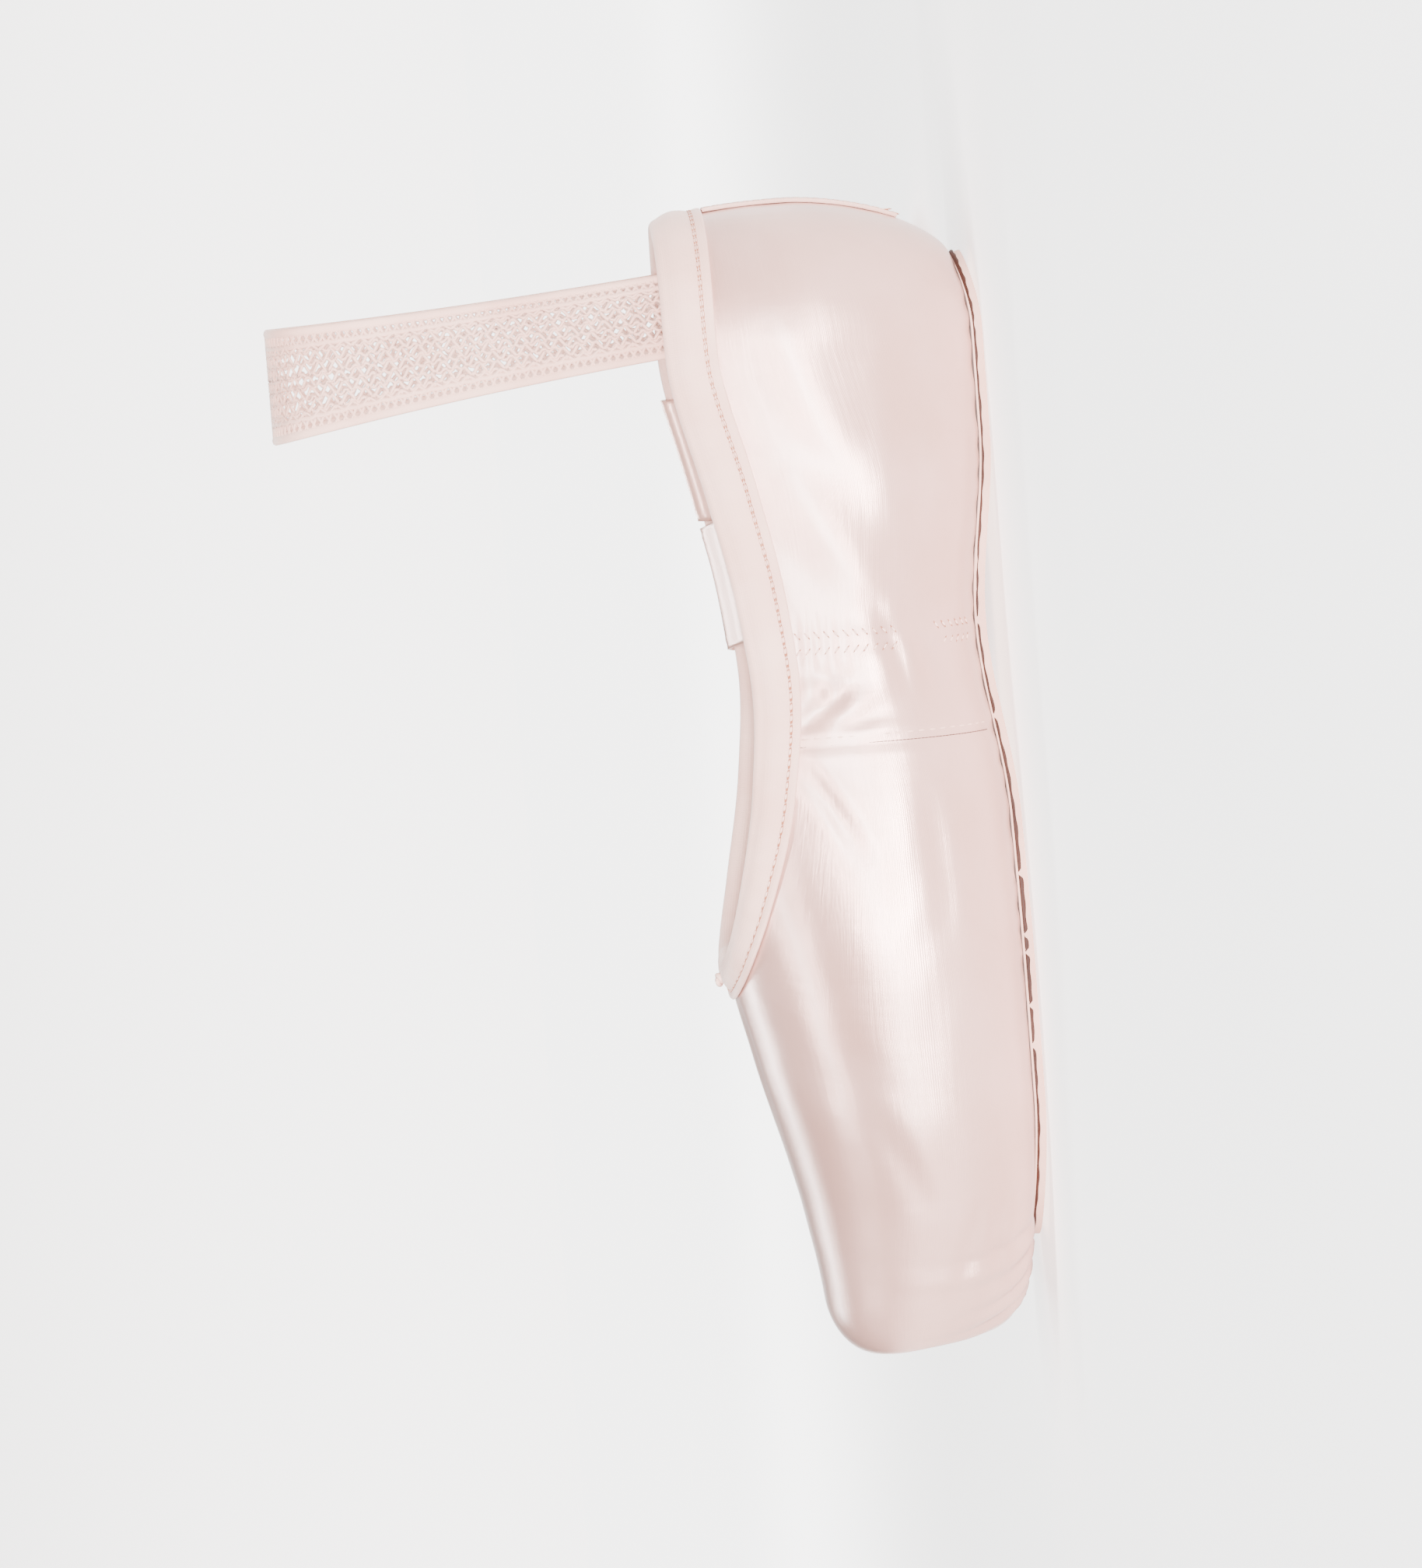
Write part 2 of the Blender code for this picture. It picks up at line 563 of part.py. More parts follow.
def make_binding(material, collection):
    """The folded tape over the collar's edge, with its ends lapped at the middle of the throat."""
    stations = collar_stations()
    grid = []
    for k, (place, turn) in enumerate(stations):
        heading = collar_heading(stations, k)
        here = surface(place, turn)
        normal = surface_normal(place, turn)
        wall = wall_at(place)
        lap = ease(1 - abs(here.y) / BINDING_JOIN_LENGTH) if place > HEEL_CENTRE else 0.0
        crown = BINDING_CROWN + BINDING_JOIN * lap
        front = ease((place - HEEL_CENTRE) / (THROAT - HEEL_CENTRE))
        width = BINDING_WIDTH + (BINDING_THROAT_WIDTH - BINDING_WIDTH) * front
        reached = [(place, turn)]
        reached += [walk(place, turn, heading, width * share) for share in (0.5, 1.0)]
        outside, inside = [], []
        for spot in reached:
            point, out = surface(*spot), surface_normal(*spot)
            outside.append(point + out * GAP)
            inside.append(point - out * (wall + INSIDE_GAP))
        top = [here + normal * (GAP * 0.6) - heading * (GAP + 0.55 * crown),
               here - normal * (wall / 2) - heading * (GAP + crown),
               here - normal * (wall + GAP * 0.6) - heading * (GAP + 0.55 * crown)]
        grid.append(outside[::-1] + top + inside)
    mesh = grid_mesh("collar_binding", grid)
    for vertex in mesh.vertices:
        if abs(vertex.co.y) < 0.05 * MM:
            vertex.co.y = 0
    obj = add_object("collar_binding", mesh, material, collection)
    first = mesh.polygons[0]
    if first.normal.dot(Vector((-1, 0, 0))) < 0:
        mesh.flip_normals()
    add_mirror(obj)
    add_wall(obj, BINDING_THICK, 1)
    return obj


def make_heel_tape(material, collection):
    """The tape over the seam at the back of the heel, from under the binding to near the sole."""
    start = BINDING_WIDTH + GAP
    length = HEEL_COLLAR - TAPE_END - start
    columns = 3
    grid = []
    for k in range(columns + 1):
        place = BACK + TAPE_WIDTH / 2 * k / columns
        line = []
        for row in range(9):
            spot = walk(place, collar_turn(place), Vector((0, 0, -1)), start + length * row / 8)
            line.append(surface(*spot) + surface_normal(*spot) * GAP)
        grid.append(line)
    mesh = grid_mesh("heel_tape", grid)
    for vertex in mesh.vertices:
        if abs(vertex.co.y) < 0.02 * MM:
            vertex.co.y = 0
    face_outwards(mesh, Vector((0, 0, HEEL_COLLAR / 2)))
    obj = add_object("heel_tape", mesh, material, collection)
    add_mirror(obj)
    add_wall(obj, TAPE_THICK, 1)
    return obj


def make_elastic(material, collection):
    """The elastic band, sewn inside the heel on both sides and arched over the ankle's place."""
    sunk = WALL + INSIDE_GAP + BINDING_THICK + INSIDE_GAP
    first = BACK + ELASTIC_PLACE
    columns = 4
    top_z = HEEL_COLLAR + ELASTIC_RISE
    grid = []
    for k in range(columns + 1):
        place = first + ELASTIC_WIDTH * k / columns
        turn = collar_turn(place)
        line = []
        for depth in (SEWN_DEPTH, 0.55 * SEWN_DEPTH):
            spot = walk(place, turn, Vector((0, 0, -1)), depth)
            line.append(surface(*spot) - surface_normal(*spot) * sunk)
        rim = surface(place, turn)
        normal = surface_normal(place, turn)
        start = rim - normal * sunk
        up = (start - line[-1]).normalized()
        middle_x = surface(first + ELASTIC_WIDTH / 2, turn).x + ELASTIC_LEAN
        top = Vector((middle_x + ELASTIC_WIDTH * (k / columns - 0.5), 0, top_z))
        reach = ELASTIC_ANKLE / 2
        lean = Vector((top.x - start.x, 0, 0)) * 0.45
        control_a = start + up * (0.25 * ELASTIC_RISE) + Vector((0, 0, 0.45 * ELASTIC_RISE)) + lean
        control_b = Vector((top.x, reach * 1.25, top_z))
        for step in range(13):
            s = step / 12
            line.append(start * (1 - s) ** 3 + control_a * (3 * s * (1 - s) ** 2)
                        + control_b * (3 * s * s * (1 - s)) + top * s ** 3)
        grid.append(line)
    mesh = grid_mesh("ankle_elastic", grid)
    face_outwards(mesh, Vector((grid[0][-1].x, 0, HEEL_COLLAR)))
    obj = add_object("ankle_elastic", mesh, material, collection)
    add_mirror(obj)
    add_wall(obj, ELASTIC_THICK, -1)
    return obj


def lap_row(lap):
    """The ribbon's two edges and middle where it lies at the collar."""
    row = []
    for share in (-0.5, 0.0, 0.5):
        place = lap.x + MIDDLE + RIBBON_WIDTH * share
        turn = collar_turn(place)
        if lap.up < 0:
            place, turn = walk(place, turn, Vector((0, 0, -1)), -lap.up)
        wall = surface(place, turn)
        upward = (surface(place, turn + 0.01) - surface(place, turn - 0.01)).normalized()
        spot = wall + surface_normal(place, turn) * lap.out + upward * max(0, lap.up)
        spot.x = wall.x
        spot.y *= lap.side
        spot.z -= SAG * (1 - lap.side ** 2)
        row.append(spot)
    return row

def ribbon_rows(laps, points):
    """The ribbon's rows: at the collar first, and then along its free middle line."""
    rows = [lap_row(lap) for lap in laps]
    middles = [row[1] for row in rows] + [Vector(point[:3]) * MM for point in points]
    flat = (rows[-1][2] - rows[-1][0]).normalized()
    for k, point in enumerate(points, len(rows)):
        ahead = (middles[min(k + 1, len(middles) - 1)] - middles[k - 1]).normalized()
        flat = (flat - ahead * flat.dot(ahead)).normalized()
        if point.z < 12:
            level = Vector((0, 0, 1)).cross(ahead).normalized()
            level = level if level.dot(flat) > 0 else -level
            flat = flat.lerp(level, 0.7).normalized()
        lean = math.radians(point.lean)
        across = flat * math.cos(lean) + ahead.cross(flat).normalized() * math.sin(lean)
        rows.append([middles[k] + across * (RIBBON_WIDTH * share) for share in (-0.5, 0.0, 0.5)])
    return rows

def smooth_rows(rows, spacing):
    """More rows on a smooth curve through the given ones, about spacing apart."""
    found = []
    last = len(rows) - 1
    for k in range(last):
        ends = (rows[max(0, k - 1)], rows[k], rows[k + 1], rows[min(last, k + 2)])
        steps = max(1, round((rows[k + 1][1] - rows[k][1]).length / spacing))
        for step in range(steps):
            s = step / steps
            found.append([0.5 * (2 * b + (c - a) * s + (2 * a - 5 * b + 4 * c - d) * s ** 2
                                 + (3 * b - a - 3 * c + d) * s ** 3)
                          for a, b, c, d in zip(*ends)])
    return found + [rows[-1]]

def make_ribbon(name, laps, points, material, collection):
    """A satin ribbon as one flat strip, from its sewn end over the collar and down to the floor."""
    grid = smooth_rows(ribbon_rows(laps, points), 9 * MM)
    for row in grid:
        for point in row:
            point.z = max(point.z, FLOOR_GAP)
    mesh = grid_mesh(name, grid)
    obj = add_object(name, mesh, material, collection)
    add_wall(obj, RIBBON_THICK, 0)
    return obj

def make_material(name, colour, roughness, metallic=0.0):
    """A plain finish with that colour."""
    material = bpy.data.materials.new(name)
    material.use_nodes = True
    shader = material.node_tree.nodes["Principled BSDF"]
    shader.inputs["Base Color"].default_value = (*colour, 1)
    shader.inputs["Roughness"].default_value = roughness
    shader.inputs["Metallic"].default_value = metallic
    return material


def main():
    """Clears the scene and builds the shoe."""
    for obj in list(bpy.data.objects):
        bpy.data.objects.remove(obj)
    collection = bpy.data.collections.new("Pointe shoe")
    bpy.context.scene.collection.children.link(collection)
    satin = make_material("satin", (0.86, 0.71, 0.67), 0.32)
    tape = make_material("cotton tape", (0.87, 0.72, 0.67), 0.7)
    leather = make_material("pink leather", (0.80, 0.60, 0.53), 0.75)
    lining = make_material("cotton lining", (0.83, 0.74, 0.66), 0.9)
    elastic = make_material("mesh elastic", (0.84, 0.70, 0.65), 0.8)
    make_upper(satin, collection)
    make_binding(tape, collection)
    make_heel_tape(tape, collection)
    make_outsole(leather, collection)
    make_insole(lining, collection)
    make_elastic(elastic, collection)
    make_ribbon("ribbon_inner", INNER_LAPS, INNER_RIBBON, satin, collection)
    make_ribbon("ribbon_outer", OUTER_LAPS, OUTER_RIBBON, satin, collection)


main()
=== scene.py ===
"""A satin pointe shoe, standing empty on its outsole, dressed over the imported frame.

The shoe is worked out from the same sizes and tables as its solids. One surface gives the upper, and
the binding, tapes, linings, seams and stitches take their places from it. Lengths are metres, +X
points to the toe, +Z up, and +Y to the side that faces the camera.
"""

import logging
import math
from dataclasses import dataclass
from enum import Enum
from typing import Callable, Iterable, NamedTuple, Sequence

import bmesh
import bpy
import numpy as np
from mathutils import Matrix, Vector


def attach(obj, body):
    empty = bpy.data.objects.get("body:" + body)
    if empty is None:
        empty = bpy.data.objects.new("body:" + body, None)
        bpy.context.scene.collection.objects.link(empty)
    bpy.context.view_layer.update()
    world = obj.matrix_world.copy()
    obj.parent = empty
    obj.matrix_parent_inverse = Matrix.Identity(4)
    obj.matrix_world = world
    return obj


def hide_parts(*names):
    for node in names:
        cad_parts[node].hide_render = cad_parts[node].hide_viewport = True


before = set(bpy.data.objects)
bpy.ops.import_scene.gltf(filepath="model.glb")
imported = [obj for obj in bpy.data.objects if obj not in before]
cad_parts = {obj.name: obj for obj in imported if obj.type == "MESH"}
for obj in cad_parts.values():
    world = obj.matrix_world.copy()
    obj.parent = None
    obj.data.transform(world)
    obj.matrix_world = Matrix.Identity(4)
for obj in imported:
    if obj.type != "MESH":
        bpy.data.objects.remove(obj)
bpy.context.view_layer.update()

logging.basicConfig(level=logging.INFO, format="%(message)s")
LOG = logging.getLogger("pointe_shoe")

MM = 0.001
BODY = "root"
# A wave texture of scale 1 repeats after this length.
WAVE_PERIOD = 0.314
SHEEN_ROUGHNESS = 0.4
SHARP_EDGE = math.radians(50)
MIRROR = np.array([1.0, -1.0, 1.0])
Array = np.ndarray
Object = bpy.types.Object
NodeTree = bpy.types.NodeTree
Placer = Callable[[Array, Array], Array]


def ease(share: Array) -> Array:
    """A share from 0 to 1 that starts and stops softly."""
    share = np.clip(share, 0.0, 1.0)
    return share * share * (3 - 2 * share)


def bump_at(value: Array, centre: float, width: float) -> Array:
    """A soft hill of height 1 at a value, about width wide."""
    return np.exp(-((value - centre) / (0.5 * width)) ** 2)


def unit(vectors: Array) -> Array:
    """The vectors, each at length 1."""
    return vectors / np.maximum(np.linalg.norm(vectors, axis=-1, keepdims=True), 1e-12)


@dataclass(frozen=True)
class SmoothCurve:
    """A curve through rows of places and values that never overshoots them."""

    places: Array
    values: Array

    def __call__(self, place: Array) -> Array:
        """Reads the curve.

        Args:
            place: where to read it; beyond the ends it stays level.

        Returns:
            The values there.
        """
        spans = np.diff(self.places)
        slopes = np.diff(self.values) / spans
        turns = np.zeros(len(self.places))
        inner = slopes[:-1] * slopes[1:] > 0
        sums = np.where(inner, slopes[:-1] + slopes[1:], 1.0)
        turns[1:-1] = np.where(inner, 2 * slopes[:-1] * slopes[1:] / sums, 0.0)
        turns[0] = slopes[0]
        turns[-1] = slopes[-1]
        place = np.clip(place, self.places[0], self.places[-1])
        k = np.clip(np.searchsorted(self.places, place, side="right") - 1, 0, len(spans) - 1)
        s = (place - self.places[k]) / spans[k]
        return (self.values[k] * (1 + 2 * s) * (1 - s) ** 2 + turns[k] * spans[k] * s * (1 - s) ** 2
                + self.values[k + 1] * (3 - 2 * s) * s ** 2 - turns[k + 1] * spans[k] * (1 - s) * s ** 2)


class Section(NamedTuple):
    """One section of the last: places and lengths in metres, and how full its curves are."""

    place: float
    half_width: float
    feather: float
    widest: float
    crown: float
    low_square: float
    top_square: float


@dataclass
class Last:
    """The shoe's sizes and the surface that they give, the same as in the solids."""

    length: float = 230 * MM
    ball_width: float = 82 * MM
    waist_width: float = 64 * MM
    heel_width: float = 58 * MM
    tip_width: float = 55 * MM
    vamp_length: float = 79 * MM
    edge_depth: float = 11 * MM
    edge_side: float = 3.2 * MM
    edge_top: float = 8 * MM
    toe_rake: float = 4 * MM
    rake_length: float = 26 * MM
    throat_height: float = 60 * MM
    tip_height: float = 42.5 * MM
    waist_collar: float = 49.5 * MM
    heel_collar: float = 62 * MM
    arch_rise: float = 3.5 * MM
    toe_spring: float = 4.5 * MM
    heel_spring: float = 5 * MM
    wall: float = 1.6 * MM
    box_wall: float = 2.8 * MM
    gap: float = 0.3 * MM
    inside_gap: float = 0.6 * MM
    turn_in: float = 5 * MM
    tape_thick: float = 0.7 * MM
    sole_thick: float = 2.2 * MM
    sole_ball_width: float = 54 * MM
    sole_waist_width: float = 27 * MM
    sole_heel_width: float = 35 * MM
    sole_tip_setback: float = 20 * MM
    step: float = 0.2 * MM

    def __post_init__(self) -> None:
        """Works out the places and curves that follow from the sizes."""
        self.heel_centre = self.heel_width / 2
        self.underside = self.sole_thick + self.gap
        self.throat = self.length - self.vamp_length
        self.quarter = self.throat - 0.45 * self.vamp_length
        self.tip = self.length - self.edge_depth
        self.sole_tip = self.length - self.sole_tip_setback
        self.back = self.heel_centre - self.heel_centre * math.pi / 2
        self.middle = (self.length - self.gap - self.tape_thick) / 2
        self.rake_top = self.tip_height - self.edge_top
        high, tip_high = self.throat_height, self.tip_height
        ball, waist = self.ball_width, self.waist_width
        sole_ball, sole_waist = self.sole_ball_width, self.sole_waist_width
        rows = [Section(*row) for row in (
            (self.heel_centre, 0.500 * self.heel_width, 0.48 * self.sole_heel_width,
             0.54 * high, 1.34 * high, 1.75, 2.5),
            (0.26 * self.length, 0.490 * waist, 0.55 * sole_waist, 0.44 * high, 1.26 * high,
             2.0, 2.6),
            (0.39 * self.length, 0.510 * waist, 0.50 * sole_waist, 0.41 * high, 1.16 * high,
             2.0, 2.7),
            (0.52 * self.length, 0.455 * ball, 0.37 * sole_ball, 0.39 * high, 1.10 * high,
             2.1, 2.8),
            (self.throat, 0.500 * ball, 0.49 * sole_ball, 0.38 * high, 1.00 * high, 2.2, 2.6),
            (self.throat + 0.33 * self.vamp_length, 0.476 * ball, 0.48 * sole_ball,
             0.37 * high, 0.905 * high, 2.3, 2.5),
            (self.throat + 0.62 * self.vamp_length, 0.412 * ball, 0.40 * sole_ball,
             0.36 * high, 1.12 * tip_high, 2.3, 2.5),
            (self.tip, 0.500 * self.tip_width, 0.31 * sole_ball, 0.53 * tip_high,
             1.00 * tip_high, 2.4, 2.6),
        )]
        places = np.array([row.place for row in rows])
        self.curves = {name: SmoothCurve(places, np.array([getattr(row, name) for row in rows]))
                       for name in Section._fields[1:]}
        self.collar_height = SmoothCurve(
            np.array([self.back, self.heel_centre] + [share * self.length for share in
                                                      (0.25, 0.34, 0.42, 0.50, 0.59)] + [self.throat]),
            np.array([self.heel_collar, 0.985 * self.heel_collar, 0.89 * self.heel_collar,
                      1.035 * self.waist_collar, self.waist_collar, 0.855 * high, 0.930 * high, high]))
        self.rise = SmoothCurve(
            np.array([0, 0.12, 0.21, 0.37, 0.54, 0.78, 0.90, 1.0]) * self.length,
            np.array([self.heel_spring, 0, 0, self.arch_rise, 0, 0, 0.32 * self.toe_spring,
                      self.toe_spring]))

    def section(self, place: Array, turn: Array) -> tuple[Array, Array]:
        """A point of the section at a place.

        Args:
            place: counted from the back of the heel.
            turn: 0 at the middle of the underside, 1 at its edge, 2 at the widest, 3 at the crown.

        Returns:
            Half width and height over the underside's plane.
        """
        wide, feather, widest, crown, low, top = (self.curves[name](place)
                                                  for name in Section._fields[1:])
        low_angle = np.clip(turn - 1, 0, 1) * math.pi / 2
        top_angle = np.clip(turn - 2, 0, 1) * math.pi / 2
        low_reach = feather + (wide - feather) * np.sin(low_angle) ** (2 / low)
        low_height = widest - (widest - self.underside) * np.abs(np.cos(low_angle)) ** (2 / low)
        top_reach = wide * np.abs(np.cos(top_angle)) ** (2 / top)
        top_height = widest + (crown - widest) * np.sin(top_angle) ** (2 / top)
        reach = np.where(turn <= 1, feather * turn, np.where(turn <= 2, low_reach, top_reach))
        height = np.where(turn <= 1, self.underside, np.where(turn <= 2, low_height, top_height))
        return reach, height

    def surface(self, place: Array, turn: Array, ring: Array | float = 1.0,
                side: Array | float = 1.0) -> Array:
        """Points of the upper's outer surface.

        Args:
            place: counted along the shoe, and round the heel and the platform's edge.
            turn: round the section, as in section().
            ring: shrinks the last section towards the platform's middle.
            side: 1 for the side that faces the camera, -1 for the other.

        Returns:
            An array of points.
        """
        place, turn, ring, side = np.broadcast_arrays(place, turn, ring, side)
        reach, height = self.section(np.clip(place, self.heel_centre, self.tip), turn)
        swing = np.clip((self.heel_centre - place) / self.heel_centre, 0, None)
        heel = place < self.heel_centre
        along = np.where(heel, self.heel_centre - reach * np.sin(swing), place)
        over = np.clip((place - self.tip) / self.edge_depth, 0, math.pi / 2)
        ahead = np.sin(over)
        past = place > self.tip
        along = np.where(past, self.tip + self.edge_depth * ahead, along)
        before_reach, before_height = self.section(np.full_like(place, self.tip - self.edge_depth), turn)
        half_height = (self.tip_height - self.underside) / 2
        middle = self.underside + half_height
        shrink = 1 - np.cos(over)
        far_reach = (reach + (reach - before_reach) * ahead) * ring
        far_reach = far_reach * (1 - self.edge_side * shrink / (self.tip_width / 2))
        far_height = height + (height - before_height) * ahead
        far_height = middle + (far_height - middle) * ring * (1 - self.edge_top * shrink / half_height)
        reach = np.where(past, far_reach, reach)
        height = np.where(past, far_height, height)
        lean = ease((place - self.tip + self.rake_length) / self.rake_length)
        rake = self.toe_rake * lean * (self.rake_top - height) / (self.rake_top - self.underside)
        across = np.where(heel, reach * np.cos(swing), reach) * side
        return np.stack([along - rake - self.middle, across, height + self.rise(along)], axis=-1)

    def normal(self, place: Array, turn: Array, side: Array | float = 1.0) -> Array:
        """The outward directions of the surface.

        Args:
            place: counted along the shoe, as in surface().
            turn: round the section, as in section().
            side: 1 for the side that faces the camera, -1 for the other.

        Returns:
            An array of vectors of length 1.
        """
        place, turn, side = np.broadcast_arrays(place, turn, side)
        low = np.clip(turn - 0.02, 0, 3)
        high = np.clip(turn + 0.02, 0, 3)
        across = self.surface(place, high) - self.surface(place, low)
        across = np.where((turn >= 3.0)[..., None], np.array([0.0, -1.0, 0.0]), across)
        along = self.surface(place + self.step, turn) - self.surface(place - self.step, turn)
        found = unit(np.cross(across, along))
        return found * np.stack([np.ones_like(side), side, np.ones_like(side)], axis=-1)

    def collar_turn(self, place: Array) -> Array:
        """The turn at which the collar crosses the section.

        Args:
            place: counted along the shoe, as in surface().

        Returns:
            The turns, which are 3 from the throat on.
        """
        height = self.collar_height(place)
        section = np.maximum(place, self.heel_centre)
        widest, crown = self.curves["widest"](section), self.curves["crown"](section)
        power = self.curves["top_square"](section) / 2
        swing = (section - place) / self.heel_centre
        lift = self.rise(section - self.heel_centre * np.sin(swing))
        share = np.clip((height - lift - widest) / (crown - widest), 0, 1)
        return np.where(place >= self.throat, 3.0, 2 + np.arcsin(share ** power) / (math.pi / 2))

    def box_share(self, place: Array) -> Array:
        """How much of the wall at a place is the stiffened box's, from 0 to 1."""
        return ease((place - 0.6 * self.length) / (0.2 * self.length))

    def wall_at(self, place: Array) -> Array:
        """The wall's thickness: cloth alone behind, and the stiffened box in front."""
        return self.wall + (self.box_wall - self.wall) * self.box_share(place)

    def walk(self, place: Array, turn: Array, heading: Array,
             distances: Sequence[float]) -> tuple[Array, Array]:
        """Walks over the surface from points, each in its heading.

        Args:
            place: where the walks start.
            turn: where the walks start.
            heading: the directions to walk in, as an array of vectors.
            distances: how far, from 0 upwards.

        Returns:
            Places and turns, a row for each distance.
        """
        place, turn, heading = place.copy(), turn.copy(), heading.copy()
        point = self.surface(place, turn)
        found = [(place.copy(), turn.copy())]
        for near, far in zip(distances, distances[1:]):
            steps = max(1, round((far - near) / (0.5 * MM)))
            for _ in range(steps):
                along = (self.surface(place + self.step, turn)
                         - self.surface(place - self.step, turn)) / (2 * self.step)
                crown = turn > 2.98
                at = np.where(crown, 2.96, turn)
                across = (self.surface(place, at + 0.02) - self.surface(place, at - 0.02)) / 0.04
                across[crown] = across[crown] * np.array([0.0, 1.0, 0.0])
                normal = unit(np.cross(across, along))
                flat = heading - normal * np.sum(heading * normal, axis=-1, keepdims=True)
                flat = unit(flat) * (far - near) / steps
                aa, ab = np.sum(along * along, axis=-1), np.sum(along * across, axis=-1)
                bb = np.sum(across * across, axis=-1)
                fa, fb = np.sum(flat * along, axis=-1), np.sum(flat * across, axis=-1)
                det = aa * bb - ab * ab
                place = place + (fa * bb - fb * ab) / det
                turn = np.minimum(3.0, turn + (fb * aa - fa * ab) / det)
                moved = self.surface(place, turn)
                heading = moved - point + heading * 1e-4
                point = moved
            found.append((place.copy(), turn.copy()))
        return np.array([spot[0] for spot in found]), np.array([spot[1] for spot in found])


def srgb(code: str) -> tuple[float, float, float, float]:
    """Turns a colour into the values that shaders take.

    Args:
        code: an sRGB hex colour such as F3E0DC.

    Returns:
        Its linear red, green and blue, and an alpha of 1.
    """
    shares = [int(code[k:k + 2], 16) / 255 for k in (0, 2, 4)]
    linear = [c / 12.92 if c <= 0.04045 else ((c + 0.055) / 1.055) ** 2.4 for c in shares]
    return (*linear, 1.0)


def add_node(tree: NodeTree, kind: str, sockets: dict | None = None,
             **settings: object) -> bpy.types.Node:
    """Adds a node with its settings and links.

    Args:
        tree: the material's node tree.
        kind: the node's type name.
        sockets: input name or number to a value, or to the output that it is linked from.
        settings: the node's own properties.

    Returns:
        The new node.
    """
    made = tree.nodes.new(kind)
    for name, value in settings.items():
        setattr(made, name, value)
    for key, value in (sockets or {}).items():
        if isinstance(value, bpy.types.NodeSocket):
            tree.links.new(value, made.inputs[key])
        else:
            made.inputs[key].default_value = value
    return made


@dataclass(frozen=True)
class Finish:
    """A finish: a name, a colour range and how it takes the light. Patterns are in millimetres."""

    name: str
    light: str
    dark: str
    roughness: float
    sheen: float = 0.0
    grain: float = 1.0
    depth: float = 0.05
    specular: float = 0.5
    metallic: float = 0.0
    glow: float = 0.0

    def start(self) -> tuple[bpy.types.Material, NodeTree, bpy.types.Node]:
        """Makes the material with its shader, colours and sheen set.

        Returns:
            The material, its tree and its shader.
        """
        material = bpy.data.materials.new(self.name)
        material.use_nodes = True
        tree = material.node_tree
        shader = tree.nodes["Principled BSDF"]
        shader.inputs["Base Color"].default_value = srgb(self.light)
        shader.inputs["Roughness"].default_value = self.roughness
        shader.inputs["Metallic"].default_value = self.metallic
        shader.inputs["Emission Color"].default_value = srgb(self.light)
        shader.inputs["Emission Strength"].default_value = self.glow
        shader.inputs["Specular IOR Level"].default_value = self.specular
        shader.inputs["Sheen Weight"].default_value = self.sheen
        shader.inputs["Sheen Roughness"].default_value = SHEEN_ROUGHNESS
        return material, tree, shader

    def mottle(self, tree: NodeTree, where: bpy.types.NodeSocket, size: float,
               shader: bpy.types.Node) -> None:
        """Lets the colour drift between its light and dark ends in soft patches.

        Args:
            tree: the material's node tree.
            where: the output that gives places in millimetres.
            size: the patches' size in millimetres.
            shader: takes the colour.
        """
        noise = add_node(tree, "ShaderNodeTexNoise", {"Vector": where, "Scale": 1 / size, "Detail": 4.0})
        span = add_node(tree, "ShaderNodeMapRange", {0: noise.outputs["Fac"], 1: 0.35, 2: 0.65})
        mix = add_node(tree, "ShaderNodeMix", {0: span.outputs[0], 6: srgb(self.light), 7: srgb(self.dark)},
                       data_type="RGBA")
        tree.links.new(mix.outputs[2], shader.inputs["Base Color"])

    def build(self) -> bpy.types.Material:
        """A plain cloth or leather with soft patches and a fine grain.

        Returns:
            The material, on Object coordinates.
        """
        material, tree, shader = self.start()
        place = add_node(tree, "ShaderNodeTexCoord")
        scaled = add_node(tree, "ShaderNodeMapping",
                          {"Vector": place.outputs["Object"], "Scale": (1000, 1000, 1000)})
        self.mottle(tree, scaled.outputs[0], 18, shader)
        grain = add_node(tree, "ShaderNodeTexNoise",
                         {"Vector": scaled.outputs[0], "Scale": 1 / self.grain, "Detail": 3.0})
        bump = add_node(tree, "ShaderNodeBump",
                        {"Height": grain.outputs["Fac"], "Distance": self.depth * MM, "Strength": 1.0})
        tree.links.new(bump.outputs[0], shader.inputs["Normal"])
        return material


